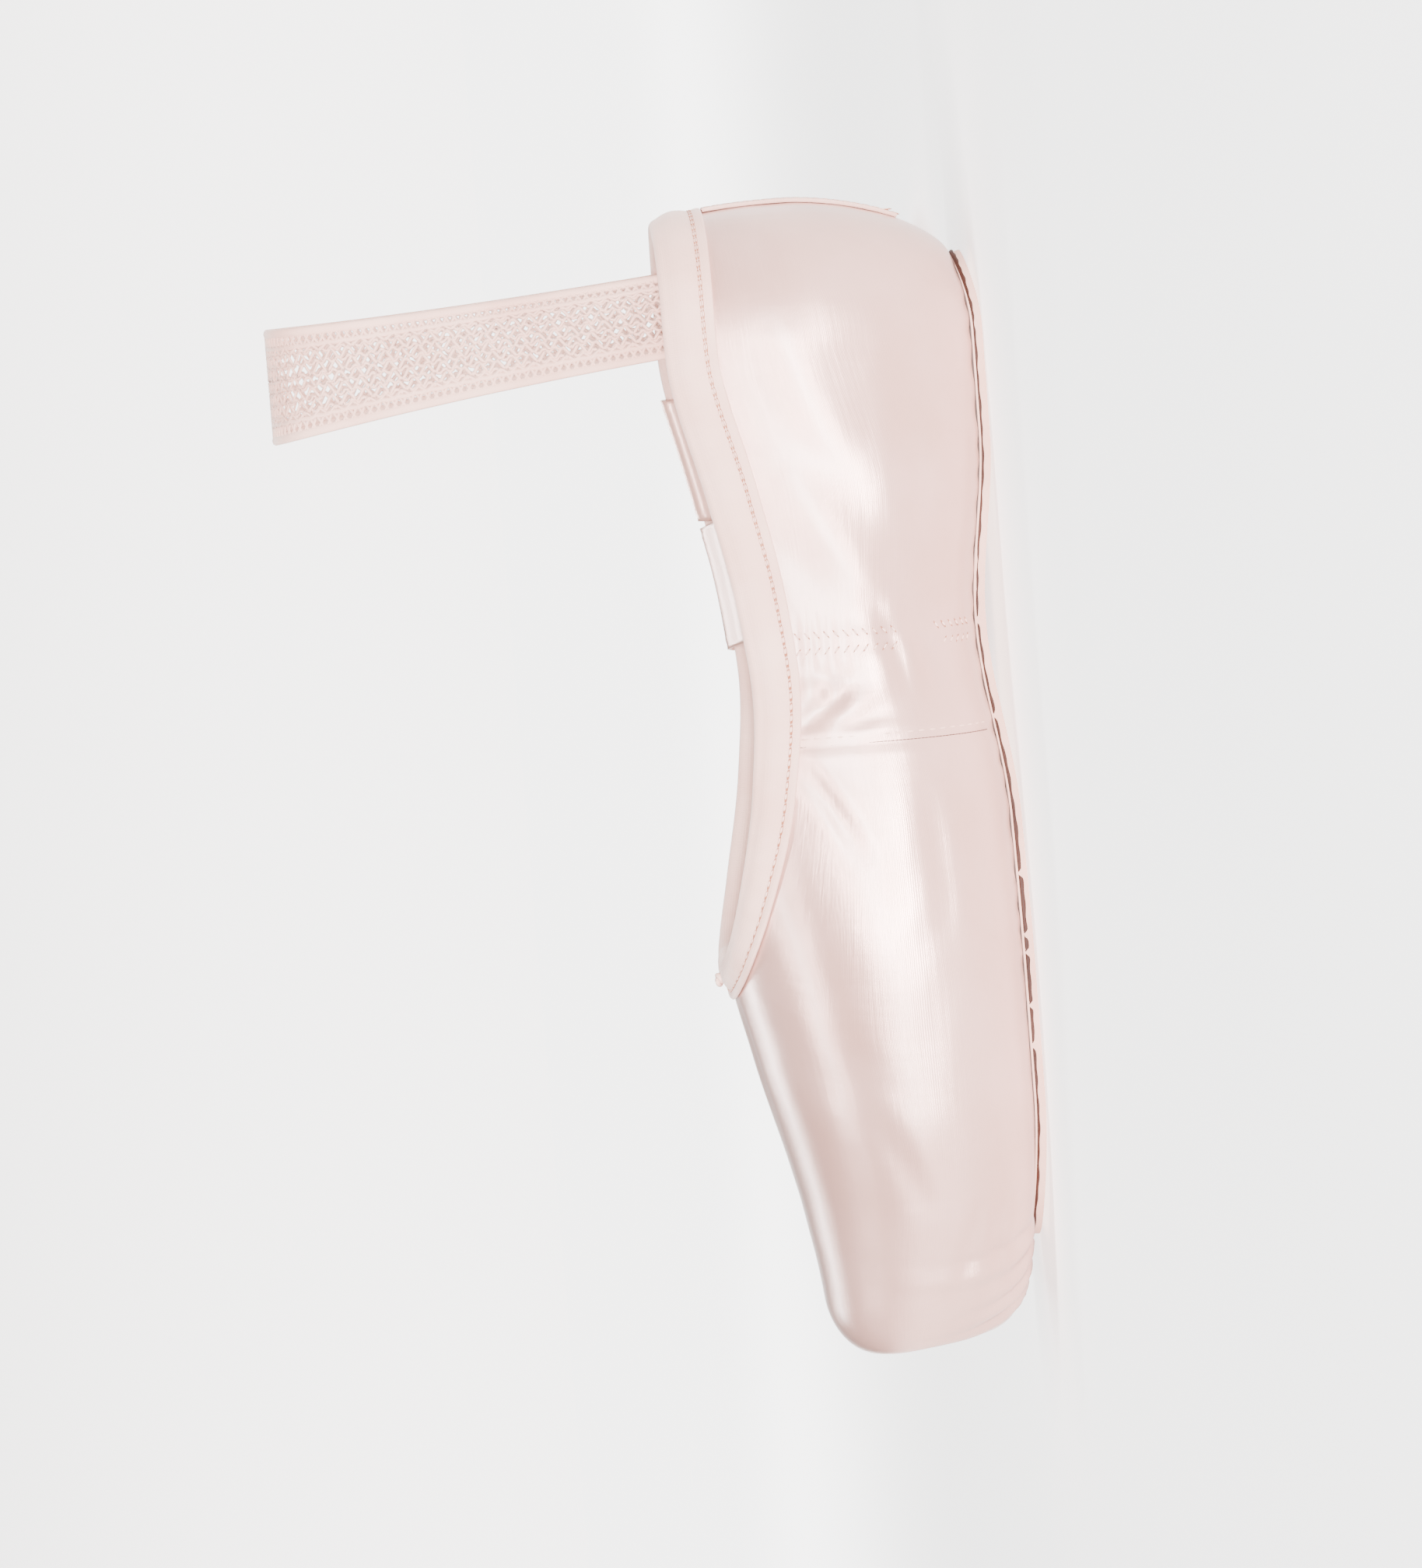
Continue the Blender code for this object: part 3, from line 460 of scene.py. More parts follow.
@dataclass(frozen=True)
class Satin(Finish):
    """Polyester satin: long smooth warp floats, so it shines across them and dulls along them.

    Its threads are far too fine to show, so their relief is drawn at a quarter of a millimetre, with
    longer slubs and faint pulls that break up the shine.
    """

    thread: float = 0.28
    slub: float = 0.03
    anisotropy: float = 0.45
    coat: float = 0.5
    coat_roughness: float = 0.24
    coat_ior: float = 1.64

    def build(self) -> bpy.types.Material:
        """The satin on a UV map in millimetres, whose first axis runs along the warp.

        Returns:
            The material.
        """
        material, tree, shader = self.start()
        place = add_node(tree, "ShaderNodeUVMap")
        self.mottle(tree, place.outputs[0], 26, shader)
        ribs = add_node(tree, "ShaderNodeTexWave",
                        {"Vector": place.outputs[0], "Scale": WAVE_PERIOD / self.thread, "Distortion": 1.2,
                         "Detail": 2.0, "Detail Scale": 0.6}, bands_direction="Y")
        stretched = add_node(tree, "ShaderNodeMapping",
                             {"Vector": place.outputs[0], "Scale": (0.05, 0.9, 1.0)})
        slubs = add_node(tree, "ShaderNodeTexNoise",
                         {"Vector": stretched.outputs[0], "Scale": 1.0, "Detail": 3.0})
        crossed = add_node(tree, "ShaderNodeMapping",
                           {"Vector": place.outputs[0], "Scale": (0.22, 0.03, 1.0)})
        pulls = add_node(tree, "ShaderNodeTexNoise",
                         {"Vector": crossed.outputs[0], "Scale": 1.0, "Detail": 2.0})
        fine = add_node(tree, "ShaderNodeBump",
                        {"Height": ribs.outputs["Fac"], "Distance": 0.012 * MM, "Strength": 0.6})
        long = add_node(tree, "ShaderNodeBump",
                        {"Height": slubs.outputs["Fac"], "Distance": self.slub * MM, "Strength": 1.0,
                         "Normal": fine.outputs[0]})
        wide = add_node(tree, "ShaderNodeBump",
                        {"Height": pulls.outputs["Fac"], "Distance": 3 * self.slub * MM, "Strength": 1.0,
                         "Normal": long.outputs[0]})
        tree.links.new(wide.outputs[0], shader.inputs["Normal"])
        tangent = add_node(tree, "ShaderNodeTangent", direction_type="UV_MAP")
        tree.links.new(tangent.outputs[0], shader.inputs["Tangent"])
        shader.inputs["Anisotropic"].default_value = self.anisotropy
        shader.inputs["Coat Weight"].default_value = self.coat
        shader.inputs["Coat Roughness"].default_value = self.coat_roughness
        shader.inputs["Coat IOR"].default_value = self.coat_ior
        return material


@dataclass(frozen=True)
class Woven(Finish):
    """A plain weave of visible threads, on a UV map in millimetres.

    Real cotton threads are a quarter to half a millimetre apart. They are drawn at 0.4 to 0.8 mm, as
    coarse as they need to be to show.
    """

    thread: float = 0.5

    def build(self) -> bpy.types.Material:
        """Warp and weft as two crossed waves, with fluff in between.

        Returns:
            The material.
        """
        material, tree, shader = self.start()
        place = add_node(tree, "ShaderNodeUVMap")
        self.mottle(tree, place.outputs[0], 14, shader)
        waves = [add_node(tree, "ShaderNodeTexWave",
                          {"Vector": place.outputs[0], "Scale": WAVE_PERIOD / self.thread, "Distortion": 0.8,
                           "Detail": 2.0}, bands_direction=axis) for axis in ("X", "Y")]
        both = add_node(tree, "ShaderNodeMath", {0: waves[0].outputs["Fac"], 1: waves[1].outputs["Fac"]},
                        operation="ADD")
        fluff = add_node(tree, "ShaderNodeTexNoise",
                         {"Vector": place.outputs[0], "Scale": 1 / self.grain, "Detail": 4.0})
        sum_up = add_node(tree, "ShaderNodeMath", {0: both.outputs[0], 1: fluff.outputs["Fac"]},
                          operation="ADD")
        bump = add_node(tree, "ShaderNodeBump",
                        {"Height": sum_up.outputs[0], "Distance": self.depth * MM, "Strength": 0.8})
        tree.links.new(bump.outputs[0], shader.inputs["Normal"])
        return material


@dataclass(frozen=True)
class LitPaper(Finish):
    """Studio paper on a light table, whose glow hides the horizon and spares the shoe."""

    near: float = 0.35
    far: float = 1.6
    near_glow: float = 0.40

    def build(self) -> bpy.types.Material:
        """The paper, with a glow that grows with the distance from the shoe, in metres.

        Returns:
            The material.
        """
        material, tree, shader = self.start()
        place = add_node(tree, "ShaderNodeTexCoord")
        away = add_node(tree, "ShaderNodeVectorMath", {0: place.outputs["Object"]}, operation="LENGTH")
        glow = add_node(tree, "ShaderNodeMapRange",
                        {0: away.outputs["Value"], 1: self.near, 2: self.far,
                         3: self.near_glow * self.glow, 4: self.glow},
                        interpolation_type="SMOOTHSTEP")
        tree.links.new(glow.outputs[0], shader.inputs["Emission Strength"])
        return material


class Finishes(Enum):
    """The shoe's finishes, named for what each one really is, or for the shade that it paints."""

    # Glossy woven polyester: long floats give broad soft highlights that slide over the folds.
    SATIN = Satin("polyester_satin", "D0A195", "C69689", 0.29, specular=0.8, metallic=0.35)
    # The same weave on both faces, smoother, so its bands of light are narrower and more even.
    RIBBON = Satin("double_faced_ribbon_satin", "DCA99A", "D29D8D", 0.28, slub=0.02, anisotropy=0.6,
                   specular=0.8, metallic=0.35)
    # Folded cotton tape: matt, with fine ribs, so it frames the shiny satin.
    TAPE = Woven("cotton_twill_tape", "E9BDAF", "E0B0A1", 0.72, sheen=0.35, grain=0.6, depth=0.03,
                 thread=0.42, specular=0.25)
    # Unbleached cotton: dull and warm white, with a weave that shows from close by.
    LINING = Woven("cotton_drill_lining", "EFE3D9", "E6D6CB", 0.9, sheen=0.2, grain=0.5, depth=0.06,
                   thread=0.6, specular=0.15)
    # Brushed cotton: its nap blurs the threads and spreads the light evenly.
    SOCK = Woven("brushed_cotton_cloth", "EADDD0", "E0D0C2", 0.95, sheen=0.3, grain=0.4, depth=0.08,
                 thread=0.8, specular=0.1)
    # The rough side of split leather: no gloss at all, a short nap and soft blotches.
    BOTTOM = Finish("suede_split_leather", "EDC9BB", "E1B8A8", 0.85, sheen=0.15, grain=0.35, depth=0.08,
                    specular=0.2)
    # Leather cut through: denser than the suede, so it is a shade darker and a little glossy.
    EDGE = Finish("cut_leather_edge", "E4B8A8", "D8A999", 0.6, grain=0.5, depth=0.12, specular=0.3)
    # Dye and glue rubbed into leather, dark brown with a dull polish, and painted shade of the gap where the
    # satin overhangs the outsole.
    BURNISH = Finish("burnished_edge_and_painted_gap_shade", "432219", "321710", 0.6, grain=0.5, depth=0.12,
                     specular=0.3)
    # Rubber wrapped in fine yarn and knitted: soft and dull, and light passes between its threads.
    ELASTIC = Finish("covered_rubber_knit", "E4B8A8", "D9A898", 0.8, sheen=0.3, grain=0.3, depth=0.06,
                     specular=0.2)
    # Sewing thread: small plump beads with a soft gloss, a shade lighter than the cloth.
    THREAD = Finish("polyester_thread", "EEC6B8", "E6B8A9", 0.55, grain=0.25, depth=0.03)
    # Painted shade: dark beads under the stitches, where the cloth that they pull in lies in shadow.
    SEAM = Finish("painted_stitch_shade", "B0735A", "9C5F49", 0.8, grain=0.4, depth=0.02, specular=0.1)
    # The depth of a seam or a needle's hole: dark, because light hardly gets in.
    HOLLOW = Finish("thread_shadow", "6B4B44", "5A3C36", 0.9, grain=0.5, depth=0.02, specular=0.1)
    # Matt paper lit from below: plain white, with no gloss and no horizon.
    FLOOR = LitPaper("lit_studio_paper", "FBFAF9", "FBFAF9", 0.9, specular=0.0, glow=4.9)

    def material(self) -> bpy.types.Material:
        """The finish's material, made once."""
        return bpy.data.materials.get(self.value.name) or self.value.build()


def pull_grid(work: bmesh.types.BMesh, columns: int, rows: int, place: Placer,
              scale: tuple[float, float]) -> list[bmesh.types.BMVert]:
    """Adds a grid and pulls its points to their places.

    Args:
        work: the mesh that it joins.
        columns: faces along the first share.
        rows: faces along the second.
        place: gives points for two arrays of shares from 0 to 1.
        scale: the grid's real length and width, which its UV map takes in millimetres.

    Returns:
        The new points.
    """
    layer = work.loops.layers.uv.verify()
    made = bmesh.ops.create_grid(work, x_segments=columns, y_segments=rows, size=1.0)["verts"]
    shares = (np.array([vert.co.to_tuple()[:2] for vert in made]) + 1) / 2
    for vert, (u, v) in zip(made, shares):
        for loop in vert.link_loops:
            loop[layer].uv = (u * scale[0] / MM, v * scale[1] / MM)
    for vert, point in zip(made, place(shares[:, 0], shares[:, 1])):
        vert.co = point
    return made


def close_normals(work: bmesh.types.BMesh, merge: float, outwards: Callable[[Vector], Vector]) -> None:
    """Merges doubles and turns all faces to the outside.

    Args:
        work: the mesh.
        merge: the distance under which points merge.
        outwards: gives the outward direction at a face's middle.
    """
    bmesh.ops.remove_doubles(work, verts=work.verts, dist=merge)
    bmesh.ops.dissolve_degenerate(work, edges=work.edges, dist=merge)
    bmesh.ops.recalc_face_normals(work, faces=work.faces)
    total = sum(face.normal.dot(outwards(face.calc_center_median())) * face.calc_area()
                for face in work.faces)
    if total < 0:
        bmesh.ops.reverse_faces(work, faces=work.faces)
    work.normal_update()


def finish_piece(name: str, work: bmesh.types.BMesh, materials: Sequence[Finishes],
                 replaces: Iterable[str] = ()) -> Object:
    """Turns a mesh into a piece of the shoe.

    Args:
        name: the piece's name.
        work: its mesh, which is used up.
        materials: its finishes, in the order of the faces' numbers.
        replaces: the solids that it stands for.

    Returns:
        The object, riding on the shoe's body.
    """
    mesh = bpy.data.meshes.new(name)
    work.to_mesh(mesh)
    work.free()
    for finish in materials:
        mesh.materials.append(finish.material())
    mesh.shade_smooth()
    piece = bpy.data.objects.new(name, mesh)
    bpy.context.scene.collection.objects.link(piece)
    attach(piece, BODY)
    if replaces:
        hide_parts(*replaces)
    LOG.info("%s: %d faces", name, len(mesh.polygons))
    return piece


def give_wall(piece: Object, thickness: float, offset: float,
              inner: int = 0) -> bpy.types.Modifier:
    """Gives an open surface its thickness.

    Args:
        piece: the piece.
        thickness: of its wall.
        offset: -1 for a wall on the inside, 1 outside, and 0 half on each side.
        inner: how far the inside's finish is down the piece's list from the outside's.

    Returns:
        The modifier.
    """
    wall = piece.modifiers.new("Wall", "SOLIDIFY")
    wall.thickness = thickness
    wall.offset = offset
    wall.use_even_offset = False
    wall.material_offset = inner
    return wall


def soften_edges(piece: Object, name: str, width: float, segments: int = 2) -> None:
    """Rounds a piece's sharp edges.

    Args:
        piece: the piece.
        name: what rounds them, which names the modifier.
        width: the rounding's width.
        segments: faces across it.
    """
    soften = piece.modifiers.new(name, "BEVEL")
    soften.width = width
    soften.segments = segments
    soften.limit_method = "ANGLE"
    soften.angle_limit = SHARP_EDGE


@dataclass
class Stitch:
    """One stitch: its middle, its direction, the surface's outward direction and its length."""

    middle: Vector
    along: Vector
    out: Vector
    length: float


def sew(name: str, stitches: Sequence[Stitch], thick: float, finish: Finishes) -> Object:
    """Makes a run of stitches as one piece, each a small plump bead of thread.

    Args:
        name: the piece's name.
        stitches: where they are.
        thick: half of a bead's width.
        finish: the beads' finish.

    Returns:
        The piece.
    """
    bead = bmesh.new()
    bead.loops.layers.uv.verify()
    bmesh.ops.create_uvsphere(bead, u_segments=8, v_segments=5, radius=1.0)
    pattern = bpy.data.meshes.new("bead")
    bead.to_mesh(pattern)
    bead.free()
    work = bmesh.new()
    for stitch in stitches:
        x = stitch.along.normalized()
        z = (stitch.out - x * stitch.out.dot(x)).normalized()
        y = z.cross(x)
        turn = Matrix((x, y, z)).transposed().to_4x4()
        size = Matrix.Diagonal((stitch.length / 2, thick, thick * 0.8, 1))
        copy = pattern.copy()
        copy.transform(Matrix.Translation(stitch.middle) @ turn @ size)
        work.from_mesh(copy)
        bpy.data.meshes.remove(copy)
    bpy.data.meshes.remove(pattern)
    return finish_piece(name, work, (finish,))


def along_line(line: Array, pitch: float) -> tuple[Array, Array]:
    """Even places on a line.

    Args:
        line: points, a row each.
        pitch: the distance between places.

    Returns:
        The index of each place, with a fraction, and the distance along the line to each point.
    """
    steps = np.linalg.norm(np.diff(line, axis=0), axis=1)
    reach = np.concatenate([[0.0], np.cumsum(steps)])
    wanted = np.arange(pitch / 2, reach[-1], pitch)
    return np.interp(wanted, reach, np.arange(len(line))), reach


def read_at(rows: Array, index: Array) -> Array:
    """Reads rows at indices with fractions.

    Args:
        rows: the rows, each a point or a few values.
        index: where to read them.

    Returns:
        A row for each index.
    """
    low = np.clip(np.floor(index).astype(int), 0, len(rows) - 2)
    share = (index - low)[:, None]
    return rows[low] * (1 - share) + rows[low + 1] * share


def read_grid(grid: Array, row: Array, column: Array) -> Array:
    """Reads a grid of points at rows and columns with fractions.

    Args:
        grid: rows of columns of points.
        row: which rows, within the grid.
        column: which columns, within the grid.

    Returns:
        A point for each pair.
    """
    r = np.minimum(row.astype(int), grid.shape[0] - 2)
    c = np.minimum(column.astype(int), grid.shape[1] - 2)
    t, s = (row - r)[:, None], (column - c)[:, None]
    return ((grid[r, c] * (1 - s) + grid[r, c + 1] * s) * (1 - t)
            + (grid[r + 1, c] * (1 - s) + grid[r + 1, c + 1] * s) * t)


def stitch_line(line: Array, outs: Array, pitch: float, length: float,
                slant: float = 0.0) -> list[Stitch]:
    """Stitches at an even pitch along a line.

    Args:
        line: points on the cloth.
        outs: the cloth's outward directions there.
        pitch: from one stitch to the next.
        length: of one stitch.
        slant: the angle in degrees between the stitches and the line.

    Returns:
        The stitches.
    """
    index, _ = along_line(line, pitch)
    middles, normals = read_at(line, index), unit(read_at(outs, index))
    ahead = unit(read_at(np.gradient(line, axis=0), index))
    swing = math.radians(slant)
    across = np.cross(normals, ahead)
    ahead = ahead * math.cos(swing) + across * math.sin(swing)
    return [Stitch(Vector(m), Vector(a), Vector(n), length) for m, a, n in zip(middles, ahead, normals)]


class Face(Enum):
    """The part of the upper that a crease lies on, which says how its two numbers are read."""

    NEAR = "x and z on the side that faces the camera"
    FAR = "x and z on the other side"
    TOP = "x and y on the vamp"
    UNDER = "x and y under the toe"


@dataclass(frozen=True)
class Crease:
    """A soft trough (depth below 0) or ridge in the satin, in millimetres."""

    face: Face
    start: tuple[float, float]
    turn: tuple[float, float]
    end: tuple[float, float]
    width: float
    depth: float

    def relief(self, points: Array, near: Array, under: Array) -> Array:
        """How far the crease lifts the cloth.

        Args:
            points: in millimetres.
            near: true on the camera's side.
            under: true under the foot.

        Returns:
            A height in millimetres for each point.
        """
        flat = points[:, [0, 2]] if self.face in (Face.NEAR, Face.FAR) else points[:, [0, 1]]
        allowed = {Face.NEAR: near & ~under, Face.FAR: ~near & ~under,
                   Face.TOP: ~under & (points[:, 2] > 25), Face.UNDER: under | (points[:, 2] < 16)}
        s = np.linspace(0, 1, 25)[:, None]
        start, turn, end = (np.array(spot) for spot in (self.start, self.turn, self.end))
        line = start * (1 - s) ** 2 + 2 * turn * s * (1 - s) + end * s ** 2
        away = np.linalg.norm(flat[:, None, :] - line[None], axis=2)
        nearest = np.argmin(away, axis=1)
        distance = away[np.arange(len(flat)), nearest]
        fade = np.sin(np.pi * (0.03 + 0.94 * s[nearest, 0])) ** 0.8
        shape = (bump_at(distance, 0, self.width)
                 - 0.35 * bump_at(distance, 0.95 * self.width, self.width))
        return np.where(allowed[self.face], self.depth * shape * fade, 0.0)


# The creases that the photo shows, and a few like them on the hidden side.
CREASE_ROWS = {
    Face.NEAR: (
        ((-10.5, 45), (-14, 39), (-21, 31), 4.4, -0.70),
        ((-9.5, 42), (-11, 33), (-15, 24), 3.6, -0.35),
        ((-24, 41), (-20, 36), (-14, 34), 3.8, -0.32),
        ((-5.5, 45), (2, 38), (14, 33), 3.4, -0.35),
        ((-32, 20), (-24, 16), (-14, 15), 3.2, -0.55),
        ((-36, 27), (-26, 22), (-16, 22), 3.4, -0.40),
        ((-28, 33), (-27, 22), (-30, 12), 4.0, -0.30),
        ((-62, 44), (-50, 33), (-36, 26), 9.0, 0.55),
        ((-92, 40), (-76, 36), (-58, 26), 10.0, 0.45),
        ((-84, 16), (-66, 17), (-48, 14), 6.0, -0.45),
        ((-100, 22), (-88, 14), (-72, 11), 5.0, -0.35),
        ((-2, 20), (12, 17), (34, 18), 5.0, -0.35),
        ((8, 12), (26, 10), (44, 11), 3.4, -0.30),
        ((64, 36), (74, 29), (88, 24), 5.0, -0.25),
        ((84, 14), (92, 18), (103, 20), 3.0, -0.35),
        ((78, 9), (88, 12), (102, 12), 2.6, -0.40),
    ),
    Face.FAR: (
        ((-10, 45), (-13, 38), (-20, 30), 3.0, -0.65),
        ((-34, 24), (-24, 18), (-12, 17), 3.4, -0.50),
        ((-26, 40), (-22, 34), (-14, 30), 3.0, -0.35),
        ((-88, 38), (-70, 32), (-52, 24), 9.0, 0.50),
        ((-84, 15), (-64, 16), (-46, 13), 6.0, -0.40),
        ((-2, 22), (16, 17), (38, 19), 5.0, -0.35),
        ((82, 12), (92, 16), (103, 18), 3.0, -0.35),
    ),
    Face.TOP: (
        ((40, 9), (52, 11), (70, 10), 5.0, -0.20),
        ((42, -12), (56, -13), (72, -11), 5.0, -0.18),
    ),
}
CREASES = tuple(Crease(face, *row) for face, rows in CREASE_ROWS.items() for row in rows)


@dataclass
class Upper:
    """The satin upper: vamp, quarters, toe box and the satin gathered under the platform.

    Args:
        last: the shoe's surface.
        knots: the shares of the cloth's length where the throat begins and ends, where the tip
            begins, and where the platform's rim begins.
        under: the share of the rows that lies underneath.
        low: the share of the rows from there up to the widest line.
        seam: how far ahead of the origin the side seams are, in mm.
        zigzag: where the rows of slanted stitches are that hold the stiffener, in mm.
    """

    last: Last
    columns: int = 268
    rows: int = 76
    length: float = 300 * MM
    girth: float = 108 * MM
    knots: tuple[float, ...] = (0.0, 0.43, 0.62, 0.84, 0.95, 1.0)
    under: float = 0.10
    low: float = 0.38
    seam: float = -8.0
    zigzag: float = -28.0
    pleats: int = 15
    pleat_depth: float = 1.15
    creases: Sequence[Crease] = CREASES

    def opening(self, place: Array) -> Array:
        """The half width of the hole underneath, which the outsole closes.

        Args:
            place: counted along the shoe.

        Returns:
            The half widths, down to 0 where the satin closes in front of the outsole.
        """
        last = self.last
        feather = last.curves["feather"](np.maximum(place, last.heel_centre))
        end = last.sole_tip - 2 * last.turn_in
        start = end - 3 * last.turn_in
        closing = np.clip((place - start) / (end - start), 0, 1)
        return (feather - last.turn_in) * np.sqrt(1 - closing ** 2)

    def stations(self, share: Array) -> tuple[Array, Array, Array]:
        """Where each column of the cloth is.

        Args:
            share: of the cloth's length, from the back of the heel to the platform's middle.

        Returns:
            The place of its low rows, the place of its top row, and its ring on the platform.
        """
        last, knots = self.last, self.knots
        wing = last.throat + 0.17 * last.vamp_length
        rim = last.tip + last.edge_depth * math.pi / 2
        side = np.interp(share, knots, [last.back, last.quarter, wing, last.tip, rim, rim])
        round_throat = np.clip((share - knots[1]) / (knots[2] - knots[1]), 0, 1)
        edge = np.where(share < knots[1], side, last.throat - (last.throat - last.quarter)
                        * (1 - round_throat) ** 2)
        ahead = np.interp(share, knots[2:4], [last.throat, last.tip])
        edge = np.where(share > knots[2], np.where(share > knots[3], side, ahead), edge)
        ring = np.interp(share, knots[4:], [1.0, 0.0])
        return side, edge, ring

    def spread(self, u: Array, v: Array) -> tuple[Array, Array, Array]:
        """Lays the cloth's grid out over the last.

        Args:
            u: shares of the cloth's length.
            v: shares of its width, from underneath to the collar.

        Returns:
            The place, turn and ring of each point.
        """
        side, edge, ring = self.stations(u)
        last = self.last
        start = self.opening(side) / last.curves["feather"](np.maximum(side, last.heel_centre))
        top = last.collar_turn(edge)
        widest = self.under + self.low
        under = np.clip(v / self.under, 0, 1)
        low = np.clip((v - self.under) / self.low, 0, 1)
        high = np.clip((v - widest) / (1 - widest), 0, 1)
        above = np.where(v < widest, 1 + low, 2 + (top - 2) * high)
        turn = np.where(v < self.under, start + (1 - start) * under, above)
        return side + (edge - side) * ease(high), turn, ring

    def relief(self, points: Array, place: Array, turn: Array) -> Array:
        """How far the seams, pleats and creases lift the satin.

        Args:
            points: the smooth cloth's points, in metres.
            place: their places along the shoe, in metres.
            turn: their turns.

        Returns:
            A height in metres for each point.
        """
        spots = points / MM
        x, y, z = spots.T
        near, under = y >= 0, turn < 1.0
        found = sum(crease.relief(spots, near, under) for crease in self.creases)
        side = ease((turn - 1.0) / 0.25)
        found += side * (-0.30 * bump_at(x, self.seam, 2.0) + 0.22 * bump_at(x, self.seam - 2.4, 2.8)
                         + 0.10 * bump_at(x, self.seam + 2.2, 2.4))
        gather = np.sin(z * 2.35 + 0.6 * np.sin(z * 0.8)) * bump_at(x, self.zigzag, 9.0)
        found += side * (-0.18 * bump_at(x, self.zigzag, 6.0) + 0.07 * gather)
        found += self.pleating(x, y, turn)
        feather = bump_at(turn, 1.02, 0.5) * np.clip((60 - x) / 20, 0, 1)
        found += 0.12 * feather * np.sin(x * 0.9 + 1.3 * np.sin(x * 0.21))
        faint = np.sin(x * 0.31 + 2.2 * np.sin(z * 0.16)) * np.sin(z * 0.27 + 1.7 * np.sin(x * 0.11))
        found += 0.05 * side * faint
        hem = ease((self.last.collar_turn(place) - turn) / 0.08)
        hem = np.where(place < self.last.throat, hem, 1.0)
        return found * np.where(x > 108, ease((115 - x) / 7), 1.0) * hem * MM

    def pleating(self, x: Array, y: Array, turn: Array) -> Array:
        """The folds that fan out from the outsole's tip, up to different heights.

        Args:
            x: the points' places in mm.
            y: their distances from the middle in mm.
            turn: their turns.

        Returns:
            A height in millimetres for each point.
        """
        near = y >= 0
        ahead = x - (self.last.sole_tip - self.last.middle) / MM
        angle = np.arctan2(np.abs(y), ahead + 30.0) / math.radians(48)
        wave = angle * self.pleats / 2 + 0.35 * np.sin(angle * 9.0 + 1.0)
        fold = 1 - 2 * np.abs((wave % 1.0) - 0.42)
        fold = np.where(near, fold, 1 - 2 * np.abs(((wave + 0.31) % 1.0) - 0.55))
        reach = 1.32 + 0.26 * np.sin(np.floor(wave) * 2.4 + np.where(near, 0.0, 1.3))
        behind, above = ease((ahead + 9) / 8), 1 - ease((turn - reach) / 0.75)
        window = behind * above * (1 - ease((ahead - 18) / 5))
        return self.pleat_depth * window * (fold - 0.35)

    def build(self) -> Object:
        """Makes the upper with its lining inside.

        Returns:
            The piece.
        """
        work = bmesh.new()
        where = work.verts.layers.float_vector.new("where")
        notes: list[Array] = []
        for side in (1, -1):
            def place_points(u: Array, v: Array) -> Array:
                """Lays one side's cloth out and notes where each point is.

                Args:
                    u: shares of its length.
                    v: shares of its width.

                Returns:
                    The points.
                """
                place, turn, ring = self.spread(u, v)
                notes.append(np.stack([place, turn, ring], axis=-1))
                return self.last.surface(place, turn, ring, side)

            made = pull_grid(work, self.columns, self.rows, place_points, (self.length, self.girth))
            for vert, note in zip(made, notes[-1]):
                vert[where] = note
        close_normals(work, 0.02 * MM, lambda middle: Vector((0.3 * middle.x, middle.y,
                                                             middle.z - 25 * MM)))
        verts = list(work.verts)
        known = np.array([vert[where].to_tuple() for vert in verts])
        base = np.array([vert.co.to_tuple() for vert in verts])
        lift = self.relief(base, known[:, 0], known[:, 1])
        for vert, height in zip(verts, lift):
            vert.co += vert.normal * float(height)
            if abs(vert.co.y) < 0.02 * MM:
                vert.co.y = 0.0
        piece = finish_piece("satin_upper", work, (Finishes.SATIN, Finishes.LINING), ("upper",))
        group = piece.vertex_groups.new(name="box_wall")
        for vertex, weight in zip(piece.data.vertices, self.last.box_share(known[:, 0])):
            group.add([vertex.index], float(weight), "REPLACE")
        wall = give_wall(piece, self.last.box_wall, -1, inner=1)
        wall.vertex_group = group.name
        wall.thickness_vertex_group = self.last.wall / self.last.box_wall
        return piece

    def side_line(self, x: float, side: int, reach: tuple[float, float],
                  lift: float) -> tuple[Array, Array]:
        """A line down the quarter.

        Args:
            x: where it is, in mm.
            side: 1 for the side that faces the camera, -1 for the other.
            reach: its lowest and highest height in mm.
            lift: how far over the satin it is, in mm.

        Returns:
            Its points and their outward directions.
        """
        last = self.last
        place = x * MM + last.middle
        turns = np.linspace(1.0, float(last.collar_turn(np.array(place))), 200)
        places = np.full_like(turns, place)
        line = last.surface(places, turns, 1.0, side)
        outs = last.normal(places, turns, side)
        kept = (line[:, 2] > reach[0] * MM) & (line[:, 2] < reach[1] * MM)
        return (line + outs * lift * MM)[kept], outs[kept]

